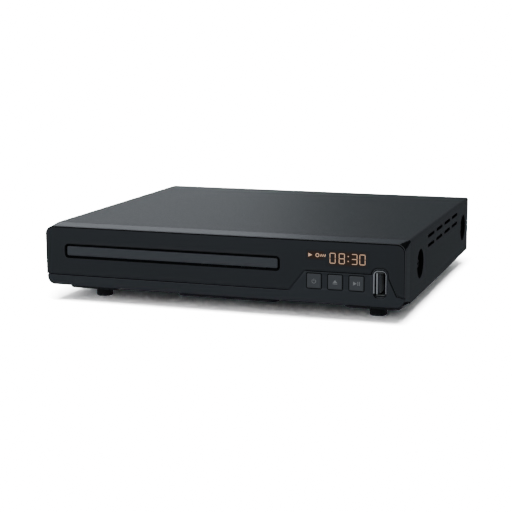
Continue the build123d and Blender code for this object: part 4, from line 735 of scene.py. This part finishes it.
def add_bow(shape, middle, line, section, depth, thinner):
    """Carry a section of (outwards, forwards) points in mm along a line and close its ends.

    The section grows thinner by one share where it faces up and by another where it faces right.
    """
    rings = []
    for x, z, out_x, out_z in line:
        share = 1 - thinner[0] * max(0, out_z) - thinner[1] * max(0, out_x)
        rings.append([shape.verts.new(((middle[0] + x + share * out * out_x) * MM,
                                       (depth - ahead) * MM,
                                       (middle[1] + z + share * out * out_z) * MM))
                      for out, ahead in section])
    for ring, after in zip(rings, rings[1:]):
        for step in range(len(section)):
            nxt = (step + 1) % len(section)
            shape.faces.new((ring[step], ring[nxt], after[nxt], after[step]))
    shape.faces.new(rings[0])
    shape.faces.new(list(reversed(rings[-1])))


usb_middle = middle_of("usb_shell")
plated_strip = [(0.4, 0.0), (0.3, 0.1), (-0.3, 0.1), (-0.4, 0.0), (-0.4, -0.9), (0.4, -0.9)]
rim = bmesh.new()
bow = bow_line(half=3.5, low=-5.35, high=7.6, bend=2.4)
add_bow(rim, usb_middle, bow, plated_strip, front_y + 0.5, thinner=(0.4, 0.35))
finish_shape("usb_bright_bow", rim, bright_nickel)
print("USB port middle:", [round(v, 2) for v in usb_middle])

# %% [markdown]
# The folded lip stands just inside the shell's left wall, and the tongue is rounded as the other
# moulded pieces are. Its faces that look right get a pale grey finish as a painted highlight.

# %% USB lip and tongue
lip = bmesh.new()
shell_corner, shell_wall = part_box("usb_shell")[0], 0.3
left_wall = shell_corner.x / MM + shell_wall
shell_front = shell_corner.y / MM
add_panel(lip, (left_wall + 0.06, left_wall + 1.0), (usb_middle[1] - 5.9, usb_middle[1] + 6.1),
          (shell_front + 0.05, shell_front + 0.9))
round_edges(lip, lip.edges[:], 0.1)
finish_shape("usb_shell_lip", lip, bright_nickel)
tongue = rounded("usb_tongue", 0.2)
tongue.data.materials.append(
    grained("Tongue_painted_highlight", "#b9bcbe", "#c4c7c9", 0.5, 0.003, (0.4, 0.5)))
# The tongue's faces that look right carry the pale painted highlight.
pale = [face for face in tongue.data.polygons if face.normal.x > 0.6]
for face in pale:
    face.material_index = 1
print("pale faces:", len(pale))

# %% [markdown]
# ## Turned pieces
#
# Screw heads, jack barrels and rings are turned: one outline is spun round an axis. The screws have a
# cross recess, which has to be a real hollow, because it catches light on its walls.

# %% Turned pieces
def frame_of(axis):
    """Two directions across an axis."""
    axis = Vector(axis)
    side = Vector((0, 0, 1)) if abs(axis.z) < 0.5 else Vector((1, 0, 0))
    across = side.cross(axis).normalized()
    return axis, across, axis.cross(across)


def add_turned(shape, outline, origin, axis, steps=40, closed=False):
    """Spin (radius, along) points in mm round an axis through an origin in metres."""
    axis, across, upward = frame_of(axis)
    rings = []
    for radius, along in outline:
        foot = Vector(origin) + axis * along * MM
        if radius == 0:
            rings.append([shape.verts.new(foot)])
        else:
            turns = [2 * pi * step / steps for step in range(steps)]
            rings.append([shape.verts.new(foot + (across * cos(t) + upward * sin(t)) * radius * MM)
                          for t in turns])
    for first, second in zip(rings, rings[1:] + rings[:1] if closed else rings[1:]):
        for step in range(steps):
            after = (step + 1) % steps
            corners = [first[step % len(first)], first[after % len(first)],
                       second[after % len(second)], second[step % len(second)]]
            unique = list(dict.fromkeys(corners))
            if len(unique) > 2:
                shape.faces.new(unique)
    return rings


print("directions across z:", [tuple(side) for side in frame_of((0, 0, 1))[1:]])

# %% [markdown]
# A screw is one turned outline from the tip of its shank to the rim of its head. The cross is a plus
# sign laid twice, at the top and smaller at the bottom, with walls between, and the ring of face that
# is left between the rim and the cross is filled last.

# %% Screws
def plus_sign(arm, slim):
    """The twelve corners of a plus sign: three corners, turned by a quarter three times."""
    corners = [(arm, -slim), (arm, slim), (slim, slim)]
    for turn in range(3):
        corners += [(-v, u) for u, v in corners[-3:]]
    return corners


def lay_flat(shape, points, seat, axis, along, shrink):
    """Put flat points across an axis, some mm over a seat, made smaller by a share."""
    axis, across, upward = frame_of(axis)
    return [shape.verts.new(Vector(seat) + axis * along * MM
                            + (across * u + upward * v) * shrink * MM) for u, v in points]


def ring_edges(shape, ring):
    """The edges that join a closed ring of points."""
    return [shape.edges.get((point, after)) for point, after in zip(ring, ring[1:] + ring[:1])]


def add_screw(shape, seat, axis, head, tall, shank, length):
    """A pan-head screw in mm: head radius and height, shank radius and length under its seat."""
    outline = [(0, -length), (shank * 0.8, -length), (shank, -length + 0.4), (shank, 0), (head, 0),
               (head, tall * 0.5), (head * 0.93, tall * 0.8), (head * 0.78, tall)]
    rim = add_turned(shape, outline, seat, axis)[-1]
    plus = plus_sign(head * 0.55, head * 0.17)
    mouth = lay_flat(shape, plus, seat, axis, tall, 1.0)
    deep = lay_flat(shape, plus, seat, axis, tall * 0.35, 0.7)
    for step in range(len(plus)):
        after = (step + 1) % len(plus)
        shape.faces.new((mouth[step], mouth[after], deep[after], deep[step]))
    shape.faces.new(deep)
    edges = ring_edges(shape, mouth) + ring_edges(shape, rim)
    bmesh.ops.triangle_fill(shape, edges=edges, use_beauty=True)


def islands(node):
    """The separate solids of a CAD node, as lists of points in metres."""
    shape = welded_copy(node)
    left, groups = set(shape.verts), []
    while left:
        front = [left.pop()]
        group = list(front)
        while front:
            for edge in front.pop().link_edges:
                for vertex in edge.verts:
                    if vertex in left:
                        left.remove(vertex)
                        front.append(vertex)
                        group.append(vertex)
        groups.append([v.co.copy() for v in group])
    shape.free()
    return groups


def span_of(points):
    """The lowest and highest corners of a group of points."""
    return (Vector([min(p[i] for p in points) for i in range(3)]),
            Vector([max(p[i] for p in points) for i in range(3)]))


def redraw_screw(shape, points):
    """A cross-recessed screw with the place, axis and sizes of a plain one."""
    low, high = span_of(points)
    size, middle = high - low, (low + high) / 2
    k = min(range(3), key=lambda i: abs(size[(i + 1) % 3] - size[(i + 2) % 3]))
    across = [Vector([p[i] - middle[i] if i != k else 0 for i in range(3)]).length for p in points]
    head = max(across)
    shank = max(reach for reach in across if reach < head * 0.9)
    wide = [p[k] for p, reach in zip(points, across) if reach > head * 0.9]
    up = 1 if max(wide) > high[k] - 0.01 * MM else -1
    axis = [0, 0, 0]
    axis[k] = up
    seat = middle.copy()
    seat[k] = min(wide) if up > 0 else max(wide)
    end = low[k] if up > 0 else high[k]
    add_screw(shape, seat, axis, head / MM, (max(wide) - min(wide)) / MM, shank / MM,
              abs(seat[k] - end) / MM)


for node in ("case_screws", "loader_screws", "board_screws"):
    screws = bmesh.new()
    for points in islands(node):
        redraw_screw(screws, points)
    bmesh.ops.recalc_face_normals(screws, faces=screws.faces[:])
    stand_in(node, screws, sharp=30)
    print(node, "dressed:", len(islands(node)), "screws")

# %% [markdown]
# ## The sockets at the rear
#
# The three round jacks are gold-plated barrels with a coloured insulator: yellow for video, white
# for left sound and red for right. These are the colours that make a rear panel readable.

# %% Jacks
jack_colours = {"white": ("#d8d8d4", "#e2e2de"), "red": ("#a01b18", "#ae2421"),
                "yellow": ("#c79a10", "#d3a81c")}
jack_groups = sorted(islands("jack_barrels"), key=lambda points: span_of(points)[0].x)
barrels, backwards = bmesh.new(), (0, 1, 0)
for (colour, (dark, light)), points in zip(jack_colours.items(), jack_groups):
    low, high = span_of(points)
    centre = Vector(((low.x + high.x) / 2, low.y, (low.z + high.z) / 2))
    long = (high.y - low.y) / MM
    shell = [(1.6, 0), (4.1, 0), (4.1, 1.0), (3.95, 1.2), (3.95, long - 0.35), (3.7, long),
             (3.35, long), (3.3, long - 0.3), (3.3, long - 1.0), (1.6, long - 1.0)]
    add_turned(barrels, shell, centre, backwards, closed=True)
    insulator = [(1.75, long - 1.0), (3.25, long - 1.0), (3.25, long - 0.4), (3.0, long - 0.2),
                 (1.95, long - 0.2), (1.75, long - 0.4)]
    collar = bmesh.new()
    add_turned(collar, insulator, centre, backwards, closed=True)
    finish = grained(f"Insulator_{colour}", dark, light, 0.5, 0.004, (0.35, 0.45))
    finish_shape(f"jack_collar_{colour}", collar, finish, sharp=30)
bmesh.ops.recalc_face_normals(barrels, faces=barrels.faces[:])
stand_in("jack_barrels", barrels, sharp=30)
print("jacks:", len(jack_groups))

# %% [markdown]
# The mains inlet has two nickel pins, turned with a rounded nose. The video sockets have rows of
# gold contacts in their slots. Only the ends of these stamped strips show, so each is a small flat
# panel that lies deeper than the rear panel's face.

# %% Contacts
back_y = 95.75
pin_pitch, pin_depth = 8.6, 13.0
pins = bmesh.new()
inlet_x, inlet_z = middle_of("ac_inlet")
for side in (-1, 1):
    x = inlet_x + side * pin_pitch / 2
    foot = Vector((x * MM, (back_y - pin_depth) * MM, inlet_z * MM))
    nose = [(1.26, 0), (1.26, 9.6), (1.1, 10.4), (0.6, 10.7), (0, 10.75)]
    add_turned(pins, nose, foot, backwards, steps=24)
finish_shape("inlet_pins", pins, bright_nickel, sharp=50)

contacts, columns = bmesh.new(), 10
for node, pitch, half, rows, thick, depths in (
        ("scart_socket", 4.0, 0.8, (-2.1, 2.1), (-0.18, 0.18), (back_y - 6.9, back_y - 1.2)),
        ("hdmi_socket", 1.0, 0.25, (1.02, -0.26), (-0.02, 0.04), (back_y - 8.0, back_y - 1.6))):
    middle_x, middle_z = middle_of(node)
    for column in range(columns):
        x = middle_x + pitch * (column - (columns - 1) / 2)
        for row in rows:
            z = middle_z + row
            add_panel(contacts, (x - half, x + half), (z + thick[0], z + thick[1]), depths)
    print("contacts in the", node, len(rows) * columns)
finish_shape("socket_contacts", contacts, finishes["jack_brass"])

# %% [markdown]
# ## Small pieces inside
#
# The turntable carries a ring of soft rubber that grips the disc, and chips stand on rows of tinned
# leads. The transformer is wound on a bobbin, and a band of yellow tape holds its winding.

# %% Grip ring and leads
grip = bmesh.new()
low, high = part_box("turntable")
seat_z = 35.0
table_middle = Vector(((low.x + high.x) / 2, (low.y + high.y) / 2, seat_z * MM))
ring = [(9.5, -0.1), (14.2, -0.1), (14.2, 0.02), (13.9, 0.06), (9.8, 0.06), (9.5, 0.02)]
add_turned(grip, ring, table_middle, (0, 0, 1), steps=72, closed=True)
finish_shape("turntable_grip_ring", grip, finishes["belt_rubber"],
             body_of["turntable"])


def add_lead(shape, along, side, long, outward, foot):
    """One bent lead of a chip: out of its side, down and along the board."""
    line = [(0.0, 0.55), (0.45, 0.55), (0.75, 0.12), (1.3, 0.12),
            (1.3, 0.0), (0.65, 0.0), (0.35, 0.42), (0.0, 0.42)]
    lanes = []
    for shift in (-0.2, 0.2):
        lane = []
        for out, up in line:
            spot = [0, 0, foot + up * MM]
            spot[long] = along + shift * MM
            spot[1 - long] = side + outward * out * MM
            lane.append(shape.verts.new(spot))
        lanes.append(lane)
    close_between(shape, *lanes)


leads, lead_pitch = bmesh.new(), 1.27
for points in islands("board_chips"):
    low, high = span_of(points)
    long = 0 if high.x - low.x > high.y - low.y else 1
    count = max(4, int((high[long] - low[long]) / MM / lead_pitch))
    for step in range(count):
        along = low[long] + (high[long] - low[long]) * (step + 0.5) / count
        for side, outward in ((low[1 - long], -1), (high[1 - long], 1)):
            add_lead(leads, along, side, long, outward, low.z)
finish_shape("chip_leads", leads, bright_nickel)
print("chips with leads:", len(islands("board_chips")))

# %% [markdown]
# The tape is a rounded block slightly larger than the core that it goes round. It covers a little
# less than half of the core's width and stands 0.15 mm proud of it in front and behind.

# %% Tape
tape = bmesh.new()
low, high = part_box("transformer")
middle, size = (low + high) / 2, high - low
tape_share, proud = 0.45, 0.15 * MM
block = bmesh.ops.create_cube(tape, size=1.0)["verts"]
for vertex in block:
    reach = (size.x * tape_share, size.y + 2 * proud, size.z + 2 * proud)
    vertex.co = Vector([middle[i] + vertex.co[i] * reach[i] for i in range(3)])
bmesh.ops.translate(tape, verts=block, vec=(0, 0, proud))
round_edges(tape, tape.edges[:], 0.5, steps=3)
tape_finish = grained("Polyester_tape", "#c9a227", "#d6b03a", 1.2, 0.006, (0.25, 0.38),
                      stretch=(1, 0.05, 0.05))
show("transformer_tape", tape, tape_finish, "case")
print("tape width:", round(size.x * tape_share / MM, 1), "mm")

# %% [markdown]
# ## The studio
#
# The player was lit as for a catalogue: a white sweep behind and below, and broad soft lamps
# overhead. A lamp behind and to the left gives the roof its slow fade from grey to black. The floor
# is seen by the camera only, so it throws no light back on the black paint.

# %% Floor and lamps
mesh, floor_size = bpy.data.meshes.new("studio_floor"), 60.0
plane = bmesh.new()
bmesh.ops.create_grid(plane, x_segments=2, y_segments=2, size=floor_size / 2)
plane.to_mesh(mesh)
plane.free()
floor = place_in_scene("studio_floor", mesh)
floor.data.materials.append(grained("Paper_sweep", "#f4f4f4", "#f8f8f8", 2.0, 0.01, (0.8, 0.9)))
floor.visible_glossy = False
floor.visible_diffuse = False


def soft_lamp(name, spot, width, height, power):
    """A rectangular lamp that faces the player."""
    lamp = bpy.data.lights.new(name, "AREA")
    lamp.shape = "RECTANGLE"
    lamp.size = width
    lamp.size_y = height
    lamp.energy = power
    lamp.color = linear("#f3f8ff")[:3]
    holder = place_in_scene(name, lamp)
    holder.location = spot
    holder.rotation_euler = (-Vector(spot)).to_track_quat("-Z", "Y").to_euler()
    return holder


soft_lamp("overhead", (0.0, -0.1, 1.6), 1.6, 1.6, 5.8)
soft_lamp("left_rear", (-1.3, 1.7, 0.75), 1.6, 1.0, 5.15)
soft_lamp("front_fill", (-0.9, -2.2, 0.8), 1.4, 1.0, 15.5)

# %% [markdown]
# ## The light on the sweep
#
# Three wide suns are linked to the sweep alone, which keeps it white without washing out the black
# paint. The strongest comes from the front, a little from the right and half way up, so its light
# reaches some way under the case, and the shadow stays short and soft.

# %% Suns
sweep_only = bpy.data.collections.new("sweep_only")
sweep_only.objects.link(floor)


def sweep_light(name, azimuth, elevation, spread, power):
    """A wide sun for the sweep alone, from an azimuth seen from above (0 is the front)."""
    sun = bpy.data.lights.new(name, "SUN")
    sun.energy = power
    sun.angle = radians(spread)
    holder = place_in_scene(name, sun)
    around, up = radians(azimuth), radians(elevation)
    from_light = Vector((-sin(around) * cos(up), cos(around) * cos(up), -sin(up)))
    holder.rotation_euler = from_light.to_track_quat("-Z", "Y").to_euler()
    holder.light_linking.receiver_collection = sweep_only
    return holder


sweep_light("sweep_front", 16, 68, 92, 4.2)
sweep_light("sweep_low", 0, 31, 34, 6.5)
sweep_light("sweep_right", 15, 52, 28, 74)

# %% [markdown]
# The player reflects dim surroundings, while the camera sees a white backdrop behind it.

# %% Surroundings
world = bpy.data.worlds.new("studio")
world.use_nodes = True
tree = world.node_tree
tree.nodes.clear()
path = add_node(tree, "ShaderNodeLightPath")
room = add_node(tree, "ShaderNodeBackground", {"Color": linear("#dfe9f2"), "Strength": 0.24})
sweep = add_node(tree, "ShaderNodeBackground", {"Color": linear("#ffffff"), "Strength": 20.0})
mix = add_node(tree, "ShaderNodeMixShader", links={0: path.outputs["Is Camera Ray"],
                                                   1: room.outputs["Background"],
                                                   2: sweep.outputs["Background"]})
add_node(tree, "ShaderNodeOutputWorld", links={"Surface": mix.outputs["Shader"]})
bpy.context.scene.world = world
print("world nodes:", len(tree.nodes))

# %% [markdown]
# ## The camera
#
# The photograph was taken from the right and a little above. Its angles come from the vanishing
# lines of the box, and the lens from how fast those lines close, for a frame of 512 by 512. The focal
# length is given in pixels of that frame.

# %% Camera
turn, tilt, roll = radians(19.4665), radians(10.5347), radians(-0.3108)
ahead = Vector((-sin(turn) * cos(tilt), cos(turn) * cos(tilt), -sin(tilt)))
right = ahead.cross(Vector((0, 0, 1))).normalized()
up = right.cross(ahead)
level = right * cos(roll) + up * sin(roll)
upright = -right * sin(roll) + up * cos(roll)
lens = bpy.data.cameras.new("photo_camera")
sensor, picture, focal_length = 36.0, 512, 1254.2
lens.sensor_width = sensor
lens.lens = focal_length * sensor / picture
lens.clip_start = 0.02
lens.clip_end = 80.0
camera = place_in_scene("photo_camera", lens)
turned = Matrix((level, upright, -ahead)).transposed().to_4x4()
camera.matrix_world = Matrix.Translation((0.262785, -0.777550, 0.170189)) @ turned
bpy.context.scene.camera = camera
print("lens:", round(lens.lens, 2), "mm")
